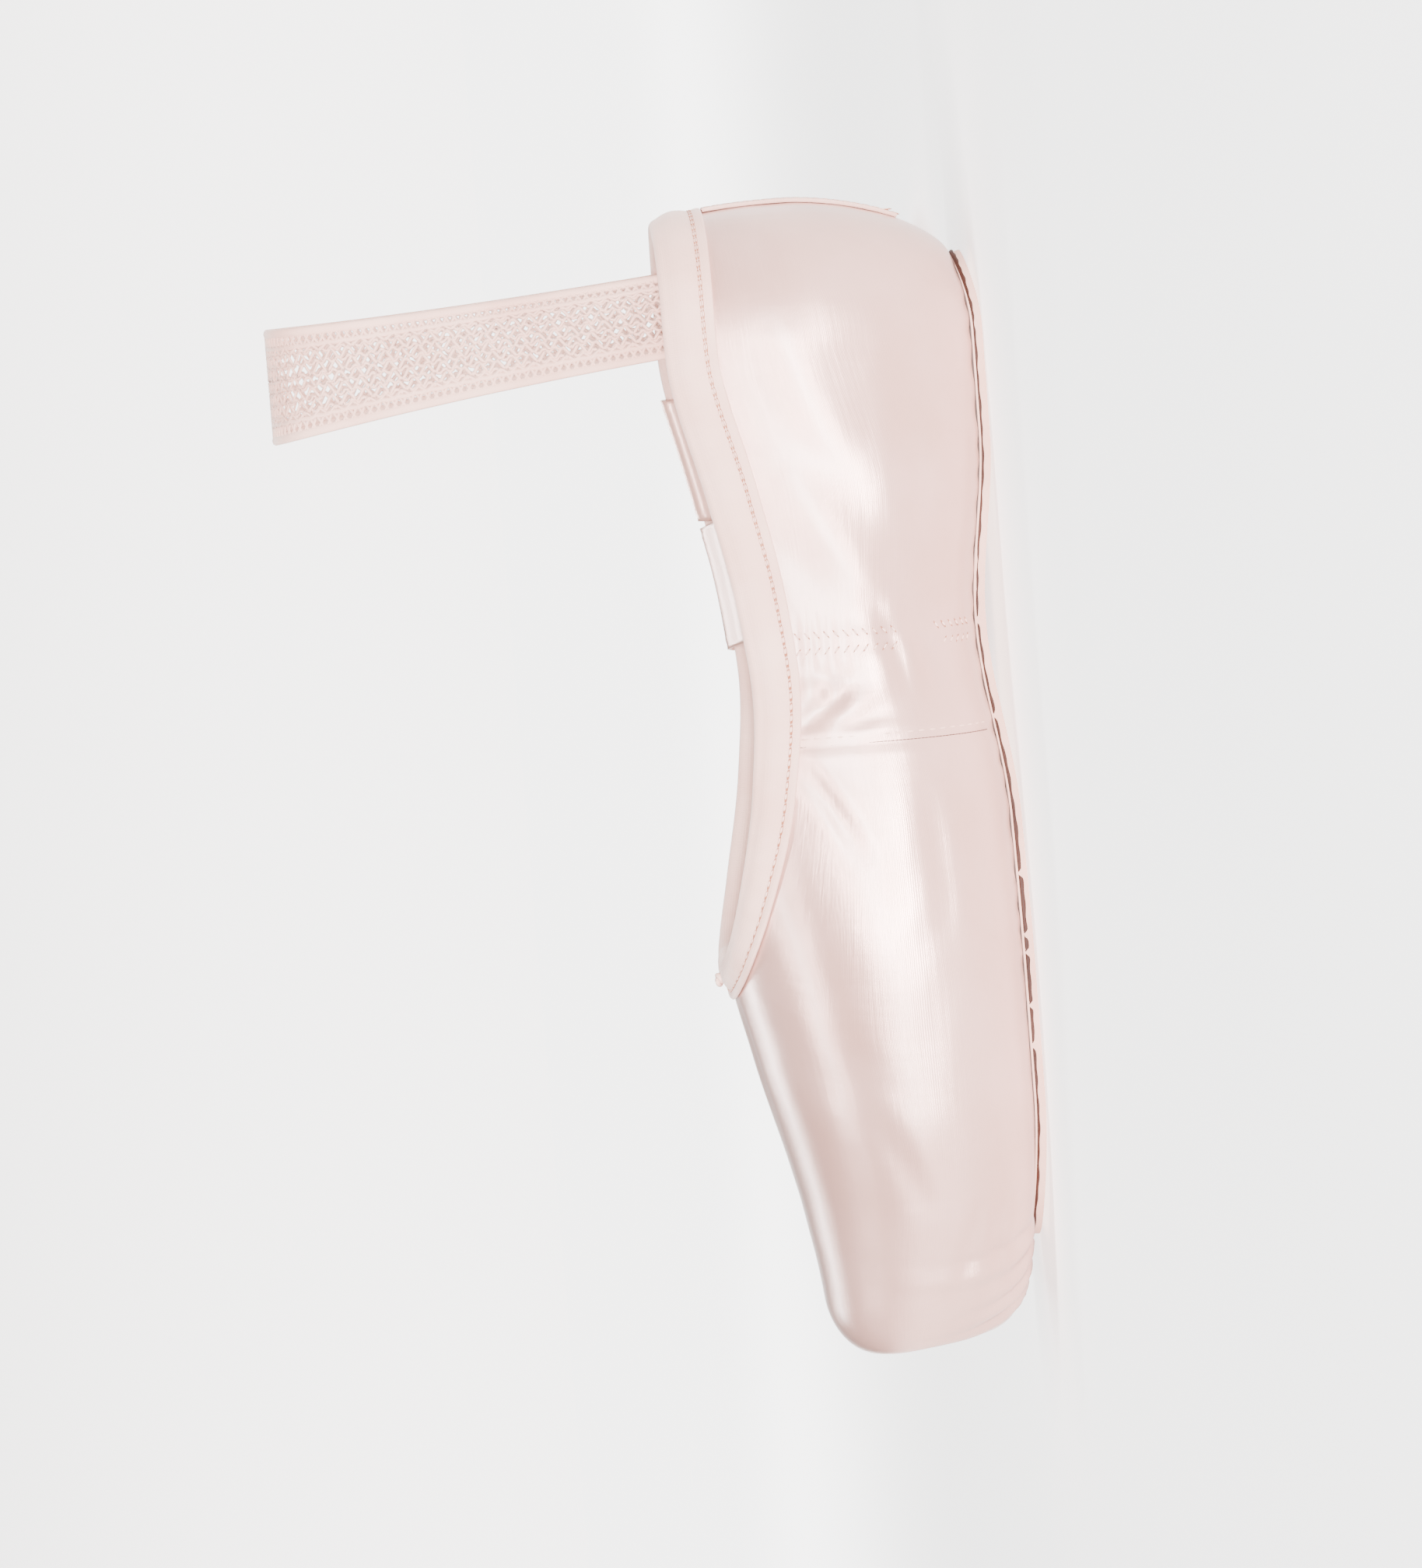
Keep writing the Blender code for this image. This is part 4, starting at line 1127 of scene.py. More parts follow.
    def stitches(self) -> list[Object]:
        """The side seams' fine lines and stitches, and the slanted rows over the stiffener's end.

        Returns:
            The thread, the seams' lines of painted shade and the painted shade of the dents under the
            slanted rows.
        """
        beads, seam_shade_lines, stitch_shades = [], [], []
        for side in (1, -1):
            line, outs = self.side_line(self.seam, side, (5.5, 47.5), -0.15)
            # Painted shade: a fine dark line sunk in the seam's trough.
            seam_shade_lines += stitch_line(line, outs, 0.75 * MM, 0.9 * MM)
            line, outs = self.side_line(self.seam - 1.5, side, (6.0, 43.0), 0.02)
            beads += stitch_line(line, outs, 2.3 * MM, 1.5 * MM)
            for k, x in enumerate((self.zigzag - 1.6, self.zigzag + 1.6)):
                for reach in ((22.0, 43.0), (7.5, 15.0)):
                    line, outs = self.side_line(x, side, reach, -0.08)
                    slant = 52 if k else -52
                    beads += stitch_line(line, outs, 1.9 * MM, 1.3 * MM, slant)
                    # Painted shade: dark beads just under each slanted stitch.
                    stitch_shades += stitch_line(line - outs * 0.03 * MM, outs, 1.9 * MM, 2.1 * MM, slant)
        return [sew("upper_stitches", beads, 0.20 * MM, Finishes.THREAD),
                sew("side_seam_painted_shade_lines", seam_shade_lines, 0.09 * MM, Finishes.HOLLOW),
                sew("stiffener_stitch_painted_shades", stitch_shades, 0.17 * MM, Finishes.SEAM)]


@dataclass
class Collar:
    """The path of the collar's edge from the back of the heel to the middle of the throat.

    Args:
        last: the shoe's surface.
        count: the path's points.
        flat: how near the throat's middle the path runs straight across.
        split: the share of its points that lie behind the throat's bend.
    """

    last: Last
    count: int = 260
    flat: float = 3.4 * MM
    split: float = 0.62

    def __post_init__(self) -> None:
        """Works out the edge, its outward directions and the directions down from it."""
        last, split = self.last, self.split
        share = np.linspace(0, 1, self.count)
        behind = last.back + (last.quarter - last.back) * np.clip(share / split, 0, 1)
        bend = (1 - np.clip((share - split) / (1 - split), 0, 1)) ** 2
        ahead = last.throat - (last.throat - last.quarter) * bend
        self.place = np.where(share < split, behind, ahead)
        self.turn = last.collar_turn(self.place)
        self.turn[-1] = 3.0
        self.edge = last.surface(self.place, self.turn)
        self.out = last.normal(self.place, self.turn)
        longer = np.concatenate([self.edge[1:2] * MIRROR, self.edge, self.edge[-2:-1] * MIRROR])
        run = longer[2:] - longer[:-2]
        down = unit(np.cross(self.out, run))
        inside = last.surface(self.place, self.turn - 0.05) - self.edge
        inside[-1] = (1.0, 0.0, 0.0)
        self.down = down * np.where(np.sum(down * inside, axis=1) > 0, 1.0, -1.0)[:, None]
        _, self.reach = along_line(self.edge, MM)

    def below(self, distances: Sequence[float]) -> tuple[Array, Array]:
        """Follows the upper down from the edge.

        Args:
            distances: how far, from 0 upwards.

        Returns:
            Points and their outward directions, a row for each distance.
        """
        last = self.last
        place, turn = last.walk(self.place, self.turn, self.down, [0.0, *distances])
        points, outs = last.surface(place, turn)[1:], last.normal(place, turn)[1:]
        ahead = last.throat + np.linspace(0, 1.3 * max(distances), 80)
        _, reach = along_line(last.surface(ahead, 3.0), MM)
        middle = np.interp(distances, reach, ahead)
        crown = np.full_like(middle, 3.0)
        steady = int(np.sum(self.edge[:, 1] > self.flat)) - 1
        share = (self.edge[steady:, 1] / self.edge[steady, 1])[None, :, None]
        for grid, centre in ((points, last.surface(middle, crown)), (outs, last.normal(middle, crown))):
            grid[:, steady:] = centre[:, None] * (1 - share) + grid[:, steady:steady + 1] * share
        return points, unit(outs)


@dataclass
class Binding:
    """The folded tape over the collar's edge, with its stitching and the drawstring's knot.

    Args:
        last: the shoe's surface.
        collar: the edge that it covers.
        crown: how high the fold stands over the edge.
        join: how much higher it is where its ends lap at the throat.
        legs: steps down each leg, and over the fold.
        pitch: from one stitch to the next.
        stitch_rows: the shares of the outer leg where it is sewn.
    """

    last: Last
    collar: Collar
    width: float = 8.5 * MM
    throat_width: float = 6.5 * MM
    thick: float = 0.8 * MM
    crown: float = 1.2 * MM
    join: float = 1.3 * MM
    join_length: float = 9 * MM
    rows: int = 40
    legs: int = 12
    pitch: float = 2.2 * MM
    stitch_rows: tuple[float, ...] = (0.70, 0.80)

    def __post_init__(self) -> None:
        """Lays the tape's profile out at every place of the collar."""
        collar, last = self.collar, self.last
        span = last.throat - last.heel_centre
        front = ease((collar.place - last.heel_centre) / span)
        self.widths = self.width + (self.throat_width - self.width) * front
        outer, inner = [], []
        wall = last.wall_at(collar.place)[:, None]
        fine = np.linspace(0, self.width, 18)
        points, outs = collar.below(list(fine[1:]))
        points = np.concatenate([collar.edge[None], points])
        outs = np.concatenate([collar.out[None], outs])
        columns = np.arange(collar.count)
        for share in np.linspace(0, 1, self.legs + 1)[1:]:
            index = np.interp(self.widths * share, fine, np.arange(len(fine)))
            point = read_grid(points, index, columns)
            out = unit(read_grid(outs, index, columns))
            puff = (0.75 * bump_at(share, 0.30, 0.62) - 0.30 * bump_at(share, 0.72, 0.16)
                    + 0.12 * bump_at(share, 0.90, 0.16))
            ripple = self.ripples(share)
            outer.append(point + out * (0.1 + puff + ripple)[:, None] * MM)
            inner.append(point - out * (wall + last.inside_gap))
        lap = ease(1 - np.abs(collar.edge[:, 1]) / self.join_length)
        lap = np.where(collar.place > last.heel_centre, lap, 0.0)
        high = (last.gap + self.crown + self.join * lap)[:, None]
        over = []
        for swing in np.linspace(0, math.pi, self.legs + 1):
            half = wall / 2 + np.where(math.cos(swing) > 0, last.gap, last.inside_gap)
            over.append(collar.edge - collar.out * (wall / 2) + collar.out * half * math.cos(swing)
                        - collar.down * high * math.sin(swing) ** 0.8)
        self.profile = np.array(outer[::-1] + over + inner)

    def ripples(self, share: float) -> Array:
        """Small gathers across the tape, strongest round the throat.

        Args:
            share: how far down the leg.

        Returns:
            Heights in mm along the collar.
        """
        reach = self.collar.reach / MM
        tight = 0.35 + 0.65 * ease((reach - 90) / 60)
        wave = np.sin(reach * 1.55 + 1.4 * np.sin(reach * 0.23) + share * 2)
        slow = np.sin(reach * 0.47 + share * 3)
        return tight * (0.06 * wave + 0.07 * slow) * bump_at(share, 0.45, 1.1)

    def at(self, side: int) -> Placer:
        """Gives what places the tape's points on one side of the shoe.

        Args:
            side: 1 for the side that faces the camera, -1 for the other.

        Returns:
            The function that pull_grid() takes.
        """
        top_row, top_column = len(self.profile) - 1, self.collar.count - 1

        def place_points(u: Array, v: Array) -> Array:
            """Reads the tape's profile.

            Args:
                u: shares of the way along the collar.
                v: shares of the way round the tape.

            Returns:
                The points.
            """
            row, column = np.clip(v * top_row, 0, top_row), np.clip(u * top_column, 0, top_column)
            return read_grid(self.profile, row, column) * np.array([1.0, side, 1.0])

        return place_points

    def build(self) -> list[Object]:
        """Makes the tape, its stitch rows and the drawstring's knot.

        Returns:
            The pieces.
        """
        work = bmesh.new()
        reach = self.collar.reach[-1]
        for side in (1, -1):
            pull_grid(work, 200, self.rows, self.at(side), (reach, 2 * self.width))
        close_normals(work, 0.02 * MM, lambda middle: Vector((0, 0, 1)))
        top = max(work.faces, key=lambda face: face.calc_center_median().z)
        if top.normal.z < 0:
            bmesh.ops.reverse_faces(work, faces=work.faces)
        tape = finish_piece("collar_tape", work, (Finishes.TAPE,), ("collar_binding",))
        give_wall(tape, self.thick, 1)
        soften_edges(tape, "Folded edge", 0.28 * MM)
        return [tape, *self.sewing()]

    def sewing(self) -> list[Object]:
        """The two close rows of stitches with painted shade for the dents that they press, and the knot.

        Returns:
            The pieces.
        """
        stitches, stitch_shades = [], []
        for share in self.stitch_rows:
            points, outs = self.row(share)
            for mirror in (1.0, MIRROR):
                away = outs * mirror
                line = (points + outs * (self.thick - 0.02 * MM)) * mirror
                stitches += stitch_line(line + away * 0.10 * MM, away, self.pitch, 1.3 * MM)
                # Painted shade: a dark bead under each stitch, for the dent that it presses.
                stitch_shades += stitch_line(line + away * 0.02 * MM, away, self.pitch, 2.3 * MM)
        return [sew("binding_stitches", stitches, 0.16 * MM, Finishes.THREAD),
                sew("binding_stitch_painted_shades", stitch_shades, 0.20 * MM, Finishes.SEAM),
                self.knot()]

    def row(self, share: float) -> tuple[Array, Array]:
        """A line along the tape's outer leg.

        Args:
            share: how far down the leg.

        Returns:
            Its points and their outward directions.
        """
        index = self.legs - share * self.legs
        low = int(index)
        line = self.profile[low] * (1 - index + low) + self.profile[low + 1] * (index - low)
        run = np.gradient(line, axis=0)
        across = self.profile[low] - self.profile[low + 1]
        out = unit(np.cross(run, across))
        out *= np.where(np.sum(out * self.collar.out, axis=1) > 0, 1.0, -1.0)[:, None]
        return line, out

    def knot(self) -> Object:
        """The drawstring's small knot at the throat's middle: loops of cord round a heart of painted shade.

        Returns:
            The piece.
        """
        work = bmesh.new()
        work.loops.layers.uv.verify()
        line, out = self.row(0.35)
        middle = Vector(line[-1]) + Vector(out[-1]) * (self.thick + 0.10 * MM)
        bmesh.ops.create_uvsphere(work, u_segments=16, v_segments=10, radius=1.25 * MM,
                                  matrix=Matrix.Translation(middle) @ Matrix.Diagonal((0.8, 1.0, 0.6, 1)))
        # The knot's heart is painted shade: a dark ball where the loops' middle lies in shadow.
        for face in work.faces:
            face.material_index = 1
        steps, sides, radius = 60, 8, 0.5 * MM

        def loop_points(u: Array, v: Array) -> Array:
            """Winds the cord along a trefoil.

            Args:
                u: shares of its length.
                v: shares of the way round it.

            Returns:
                The points.
            """
            t = u * 2 * np.pi
            centre = np.stack([(1.3 + 0.55 * np.cos(3 * t)) * np.cos(2 * t) * 0.8,
                               (1.3 + 0.55 * np.cos(3 * t)) * np.sin(2 * t) * 1.2,
                               0.55 * np.sin(3 * t) + 0.35], axis=-1) * 0.75 * MM
            run = np.stack([-np.sin(2 * t), np.cos(2 * t), np.cos(3 * t) * 0.6], axis=-1)
            first = unit(np.cross(run, np.array([0.0, 0.0, 1.0])))
            second = unit(np.cross(run, first))
            ring = (first * np.cos(2 * np.pi * v)[:, None] + second * np.sin(2 * np.pi * v)[:, None])
            return centre + ring * radius + np.array(middle)

        pull_grid(work, steps, sides, loop_points, (20 * MM, 3 * MM))
        close_normals(work, 0.005 * MM, lambda spot: spot - middle)
        return finish_piece("drawstring_knot", work, (Finishes.THREAD, Finishes.HOLLOW))


@dataclass
class HeelTape:
    """The tape over the seam at the back of the heel, with its stitch rows and bar tack.

    Args:
        last: the shoe's surface.
        lift: how far it clears the satin.
        end: how far over the floor it ends.
        start: how far below the collar it starts.
        sewn: how far from its edges it is sewn.
    """

    last: Last
    width: float = 6.5 * MM
    thick: float = 0.85 * MM
    lift: float = 0.08 * MM
    end: float = 14 * MM
    start: float = 8.8 * MM
    columns: int = 12
    rows: int = 60
    sewn: float = 1.1 * MM

    def lines(self, across: Array) -> tuple[Array, Array]:
        """Lines down the satin under the tape.

        Args:
            across: their distances from the tape's middle.

        Returns:
            Their points and outward directions.
        """
        place = self.last.back + np.abs(across)
        length = self.last.heel_collar - self.end - self.start
        distances = [0.0, *(self.start + length * k / self.rows for k in range(self.rows + 1))]
        down = np.tile([0.0, 0.0, -1.0], (len(place), 1))
        places, turns = self.last.walk(place, self.last.collar_turn(place), down, distances)
        side = np.where(across >= 0, 1.0, -1.0)
        return (self.last.surface(places, turns, 1.0, side)[1:],
                self.last.normal(places, turns, side)[1:])

    def build(self) -> list[Object]:
        """Makes the tape and its stitches.

        Returns:
            The pieces.
        """
        half = self.width / 2
        points, outs = self.lines(np.linspace(-half, half, self.columns + 1))
        grid = points + outs * self.lift

        def place_points(u: Array, v: Array) -> Array:
            """Reads the grid, across the tape and down it."""
            return grid[np.rint(v * self.rows).astype(int), np.rint(u * self.columns).astype(int)]

        work = bmesh.new()
        pull_grid(work, self.columns, self.rows, place_points, (self.width, 40 * MM))
        close_normals(work, 0.005 * MM, lambda middle: Vector((-1, 0, 0)))
        tape = finish_piece("heel_seam_tape", work, (Finishes.TAPE,), ("heel_tape",))
        give_wall(tape, self.thick, 1)
        soften_edges(tape, "Folded edge", 0.25 * MM)
        stitches, stitch_shades = [], []
        lift = self.lift + self.thick
        points, outs = self.lines(np.array([self.sewn - half, half - self.sewn, 0.0]))
        for k in range(2):
            line = points[:, k] + outs[:, k] * lift
            stitches += stitch_line(line, outs[:, k], 2.0 * MM, 1.2 * MM)
            # Painted shade: a dark bead under each stitch.
            stitch_shades += stitch_line(line - outs[:, k] * 0.06 * MM, outs[:, k], 2.0 * MM, 2.1 * MM)
        low, out = Vector(points[-5, 2] + outs[-5, 2] * lift), Vector(outs[-5, 2])
        for k in range(9):
            spot = low + Vector((0, (k - 4) * 0.62 * MM, 0.5 * MM * (k % 2)))
            stitches.append(Stitch(spot, Vector((0, 0.15, 1)), out, 2.4 * MM))
            # Painted shade under the bar tack's stitches.
            stitch_shades.append(Stitch(spot - out * 0.08 * MM, Vector((0, 0.15, 1)), out, 3.2 * MM))
        return [tape, sew("heel_tape_stitches", stitches, 0.16 * MM, Finishes.THREAD),
                sew("heel_tape_stitch_painted_shades", stitch_shades, 0.20 * MM, Finishes.SEAM)]


@dataclass
class Bottom:
    """The leather outsole and the sock lining over it.

    Args:
        last: the shoe's surface.
        setback: how far behind the platform the sock ends.
        turn_up: how far the sock turns up at its edges, as a share of a quarter of the section.
        nose_share: the share of an outline's points where its round end begins.
        gaps: where the dark line over the edge is thin, in mm.
    """

    last: Last
    length: float = 215 * MM
    setback: float = 24 * MM
    turn_up: float = 0.45
    sock_thick: float = 1.4 * MM
    edge_bevel: float = 0.5 * MM
    nose_share: float = 0.86
    gaps: tuple[float, ...] = (-29.0, -10.0, 21.0, 33.0, 36.5, 47.0, 55.0)

    def outline(self, share: Array, end: float) -> tuple[Array, Array]:
        """The outline of a flat piece at the bottom.

        Args:
            share: how far along it, from the back of the heel.
            end: where its round end is.

        Returns:
            Places and half widths.
        """
        last = self.last
        nose = 0.55 * last.sole_ball_width
        start = end - nose
        straight = np.clip(share / self.nose_share, 0, 1)
        place = last.back + (start - last.back) * straight
        swing = np.clip((share - self.nose_share) / (1 - self.nose_share), 0, 1) * math.pi / 2
        place = np.where(share > self.nose_share, start + nose * np.sin(swing), place)
        half = last.curves["feather"](np.maximum(place, last.heel_centre))
        return place, half * np.maximum(0.0, np.cos(swing)) ** 0.8

    def build(self) -> list[Object]:
        """Makes the outsole, its dark line of dye and painted gap shade, and the sock."""
        return [self.outsole(), self.burnish_and_gap_shade(), self.sock()]

    def rim(self) -> tuple[Array, Array, Array]:
        """The outsole's outline on the side that faces the camera.

        Returns:
            Their places, the points seen from above, and their outward directions.
        """
        last = self.last
        place, half = self.outline(np.linspace(0, 1, 700), last.sole_tip)
        swing = np.clip((last.heel_centre - place) / last.heel_centre, 0, None)
        along = np.where(place < last.heel_centre, last.heel_centre - half * np.sin(swing), place)
        flat = np.stack([along, half * np.cos(swing)], axis=-1)
        run = unit(np.gradient(flat, axis=0))
        return place, flat, np.stack([-run[:, 1], run[:, 0]], axis=-1)

    def burnish_and_gap_shade(self) -> Object:
        """The dark line where the outsole meets the satin: dye and glue on the edge, and painted shade of
        the gap under the satin.

        Returns:
            The piece.
        """
        last = self.last
        place, flat, out = self.rim()
        x = (place - last.middle) / MM
        deep = 0.80 + 0.42 * bump_at(x, 30, 50) + 0.14 * np.sin(x * 0.9) * np.sin(x * 0.37)
        for gap in self.gaps:
            deep = deep * (1 - 0.78 * bump_at(x, gap, 1.2))
        work = bmesh.new()
        for side in (1, -1):
            def place_points(u: Array, v: Array) -> Array:
                """Lays the line along the top of the edge.

                Args:
                    u: shares of its length.
                    v: shares of its height.

                Returns:
                    The points.
                """
                index = u * (len(x) - 1)
                point = read_at(flat, index)
                away = unit(read_at(out, index))
                drop = read_at(deep[:, None], index)[:, 0] * (1 - v)
                high = last.sole_thick / MM - 0.02 - drop
                proud = 0.06 - np.clip(high - 1.65, 0, None) * 0.95
                point = point + away * (proud * MM)[:, None]
                height = last.rise(point[:, 0]) + high * MM
                return np.stack([point[:, 0] - last.middle, point[:, 1] * side, height], axis=-1)

            pull_grid(work, 500, 5, place_points, (self.length, 2 * MM))
        close_normals(work, 0.01 * MM, lambda middle: Vector((0.2 * middle.x, middle.y, 0)))
        # A dark strip of dye and painted shade: it stands for the stained edge and for the shadow in the gap
        # under the satin.
        line = finish_piece("sole_edge_dye_and_painted_gap_shade", work, (Finishes.BURNISH,))
        give_wall(line, 0.12 * MM, 0)
        return line

    def outsole(self) -> Object:
        """The split-leather outsole: suede below, a cut edge, and two scored lines at the front.

        Returns:
            The piece.
        """
        last = self.last
        work = bmesh.new()
        for side in (1, -1):
            def place_points(u: Array, v: Array) -> Array:
                """Lays one half of the leather's lower face out.

                Args:
                    u: shares of its length.
                    v: shares of its half width.

                Returns:
                    The points.
                """
                place, half = self.outline(u, last.sole_tip)
                across = half * v
                swing = np.clip((last.heel_centre - place) / last.heel_centre, 0, None)
                along = np.where(place < last.heel_centre, last.heel_centre - across * np.sin(swing), place)
                score = bump_at(along / MM, 74, 2.0) + bump_at(along / MM, 78.5, 1.6)
                height = last.rise(along) + 0.18 * MM * score * ease((1 - v) / 0.1)
                return np.stack([along - last.middle, across * np.cos(swing) * side, height], axis=-1)

            pull_grid(work, 170, 20, place_points, (self.length, 27 * MM))
        close_normals(work, 0.02 * MM, lambda middle: Vector((0, 0, -1)))
        sole = finish_piece("leather_outsole", work, (Finishes.BOTTOM, Finishes.EDGE),
                            ("outsole",))
        wall = give_wall(sole, last.sole_thick, -1)
        wall.use_even_offset = True
        wall.material_offset_rim = 1
        soften_edges(sole, "Rubbed edge", self.edge_bevel, 3)
        return sole

    def sock(self) -> Object:
        """The brushed cotton sock lining, turned up a little at its edges.

        Returns:
            The piece.
        """
        last = self.last
        work = bmesh.new()
        end = last.length - self.setback
        for side in (1, -1):
            def place_points(u: Array, v: Array) -> Array:
                """Lays one half of the sock against the wall's inner face.

                Args:
                    u: shares of its length.
                    v: shares of its half width.

                Returns:
                    The points.
                """
                place, half = self.outline(u, end)
                feather = last.curves["feather"](np.maximum(place, last.heel_centre))
                turn = v * (1 + self.turn_up) * half / feather
                sunk = (last.wall_at(place) + last.inside_gap)[:, None]
                return last.surface(place, turn, 1.0, side) - last.normal(place, turn, side) * sunk

            pull_grid(work, 150, 26, place_points, (205 * MM, 38 * MM))
        close_normals(work, 0.05 * MM, lambda middle: Vector((0, 0, -1)))
        sock = finish_piece("sock_lining", work, (Finishes.SOCK,), ("insole",))
        give_wall(sock, self.sock_thick, -1)
        return sock


@dataclass
class AnkleElastic:
    """The open-knit ankle elastic: edge cords, picot rows and wavy knitted courses.

    Args:
        last: the shoe's surface.
        rise: how far it stands over the collar at the heel.
        ankle: its width from side to side at the top.
        lean: how far its top leans forward.
        place: how far along the collar's side it starts.
        pitch: the knit's length of repeat, drawn as coarse as it needs to be to show.
        cord: half the thickness of the picot rows' threads.
        edge: how far the edge cords are from the band's sides.
        picot: the picot rows' place, as a share of the width.
    """

    last: Last
    width: float = 23 * MM
    rise: float = 79 * MM
    ankle: float = 58 * MM
    lean: float = 10 * MM
    place: float = 22 * MM
    sewn: float = 13 * MM
    binding: float = 0.8 * MM
    courses: int = 6
    pitch: float = 3.3 * MM
    cord: float = 0.42 * MM
    edge: float = 1.1 * MM
    picot: float = 0.175

    def __post_init__(self) -> None:
        """Works out the band's middle surface, from one sewn end to the other."""
        last = self.last
        sunk = last.wall + 2 * last.inside_gap + self.binding
        first = last.back + self.place
        top_z = last.heel_collar + self.rise
        lines = []
        for share in np.linspace(0, 1, 9):
            place = np.array([first + self.width * share])
            turn = last.collar_turn(place)
            places, turns = last.walk(place, turn, np.array([[0.0, 0.0, -1.0]]),
                                      [0.0, *np.linspace(0.8 * MM, self.sewn, 14)])
            wall = (last.surface(places, turns) - last.normal(places, turns) * sunk)[:, 0]
            start = Vector(wall[0])
            up = (start - Vector(wall[7])).normalized()
            middle = last.surface(np.array([first + self.width / 2]), turn)[0]
            top = Vector((middle[0] + self.lean + self.width * (share - 0.5), 0, top_z))
            tilt = Vector((top.x - start.x, 0, 0)) * 0.45
            near = start + up * (0.25 * self.rise) + Vector((0, 0, 0.45 * self.rise)) + tilt
            far = Vector((top.x, self.ankle / 2 * 1.25, top_z))
            s = np.linspace(0, 1, 60)[1:, None]
            arch = (np.array(start) * (1 - s) ** 3 + np.array(near) * (3 * s * (1 - s) ** 2)
                    + np.array(far) * (3 * s * s * (1 - s)) + np.array(top) * s ** 3)
            half = np.concatenate([wall[::-1], arch])
            lines.append(np.concatenate([half, half[-2::-1] * MIRROR]))
        self.band = np.array(lines)
        middle = self.band[4]
        _, self.reach = along_line(middle, MM)
        self.length = float(self.reach[-1])
        run = np.gradient(self.band, axis=1)
        across = np.gradient(self.band, axis=0)
        self.out = unit(np.cross(across, run))

    def at(self, along: Array, across: Array, lift: Array | float = 0.0) -> Array:
        """Points over the band.

        Args:
            along: distances along it.
            across: shares of its width.
            lift: heights over its middle surface.

        Returns:
            A point for each.
        """
        column = np.interp(along, self.reach, np.arange(len(self.reach)))
        row = np.clip(across, 0, 1) * (len(self.band) - 1)
        height = np.broadcast_to(lift, along.shape)[:, None]
        return read_grid(self.band, row, column) + read_grid(self.out, row, column) * height

    def thread(self, work: bmesh.types.BMesh, steps: int, route: Callable[[Array], Array],
               radius: float, flat: float = 1.0, sides: int = 5) -> None:
        """Adds one thread of the knit.

        Args:
            work: the mesh that it joins.
            steps: faces along it.
            route: gives its middle line for shares from 0 to 1.
            radius: half its thickness.
            flat: its width against its thickness.
            sides: faces round it.
        """
        def place_points(u: Array, v: Array) -> Array:
            """Wraps the thread round its route.

            Args:
                u: shares of its length.
                v: shares of the way round it.

            Returns:
                The points.
            """
            middle = route(u)
            run = unit(route(np.clip(u + 1e-4, 0, 1)) - route(np.clip(u - 1e-4, 0, 1)))
            index = np.clip(np.round(u * (len(self.reach) - 1)).astype(int), 0, len(self.reach) - 1)
            out = self.out[4][index]
            first = unit(np.cross(run, out))
            second = np.cross(first, run)
            swing = 2 * np.pi * v
            return middle + (first * (flat * np.cos(swing))[:, None]
                             + second * np.sin(swing)[:, None]) * radius

        pull_grid(work, steps, sides, place_points, (self.length, radius * 6))

    def build(self) -> Object:
        """Makes the knit as one mesh.

        Returns:
            The piece.
        """
        work = bmesh.new()
        turns = self.length / self.pitch
        edge = self.edge / self.width
        for share in (edge, 1 - edge):
            self.thread(work, 260, lambda u, share=share: self.at(u * self.length, np.full_like(u, share)),
                        0.55 * MM, flat=1.7, sides=8)
        inner = np.linspace(0.235, 0.765, self.courses)
        for share in (self.picot, 1 - self.picot):
            self.thread(work, 240, lambda u, share=share: self.at(
                u * self.length, share + 0.006 * np.sin(2 * np.pi * u * turns)), self.cord, flat=1.4)
        for k, share in enumerate(inner):
            self.thread(work, int(turns * 8), lambda u, share=share, k=k: self.at(
                u * self.length, share + 0.021 * np.sin(2 * np.pi * u * turns * 1.5 + k * np.pi),
                0.22 * MM * np.cos(2 * np.pi * u * turns * 3)), 0.30 * MM, flat=1.25, sides=4)
        for low, high, phase in self.links(inner):
            self.thread(work, int(turns * 6), lambda u, low=low, high=high, phase=phase: self.at(
                u * self.length, (low + high) / 2 + (high - low) * 0.55 * np.arcsin(0.98 * np.sin(
                    2 * np.pi * u * turns + phase)) / 1.4, -0.12 * MM), 0.27 * MM, flat=1.3, sides=4)
        bmesh.ops.remove_doubles(work, verts=work.verts, dist=0.01 * MM)
        bmesh.ops.recalc_face_normals(work, faces=work.faces)
        return finish_piece("knitted_elastic_band", work, (Finishes.ELASTIC,),
                            ("ankle_elastic",))

    def links(self, inner: Array) -> list[tuple[float, float, float]]:
        """The zigzag threads: two crossed ones beside each edge, and one between neighbouring rows.

        Args:
            inner: the knitted rows' shares of the width.

        Returns:
            For each, the two shares that it swings between and where its swing starts.
        """
        edge = self.edge / self.width
        found = []
        for low, high in ((edge, self.picot), (1 - self.picot, 1 - edge)):
            found += [(low, high, 0.0), (low, high, math.pi)]
        rows = [self.picot, *inner, 1 - self.picot]
        return found + [(low, high, 1.3 * k) for k, (low, high) in enumerate(zip(rows, rows[1:]))]


class Lap(NamedTuple):
    """Where a ribbon lies at the collar: x in mm, the side, and how far out and up, in metres."""

    x: float
    side: float
    out: float
    up: float


class Rest(NamedTuple):
    """Where a ribbon's middle lies, in mm, and how far its width leans there, in degrees."""

    x: float
    y: float
    z: float
    lean: float


# Where the ribbons lie inside the satin, outside it and over the edge, and how deep they are sewn in.
INSIDE = -3.8 * MM
OUTSIDE = 1.9 * MM
OVER = 3.1 * MM
SEWN = 13 * MM

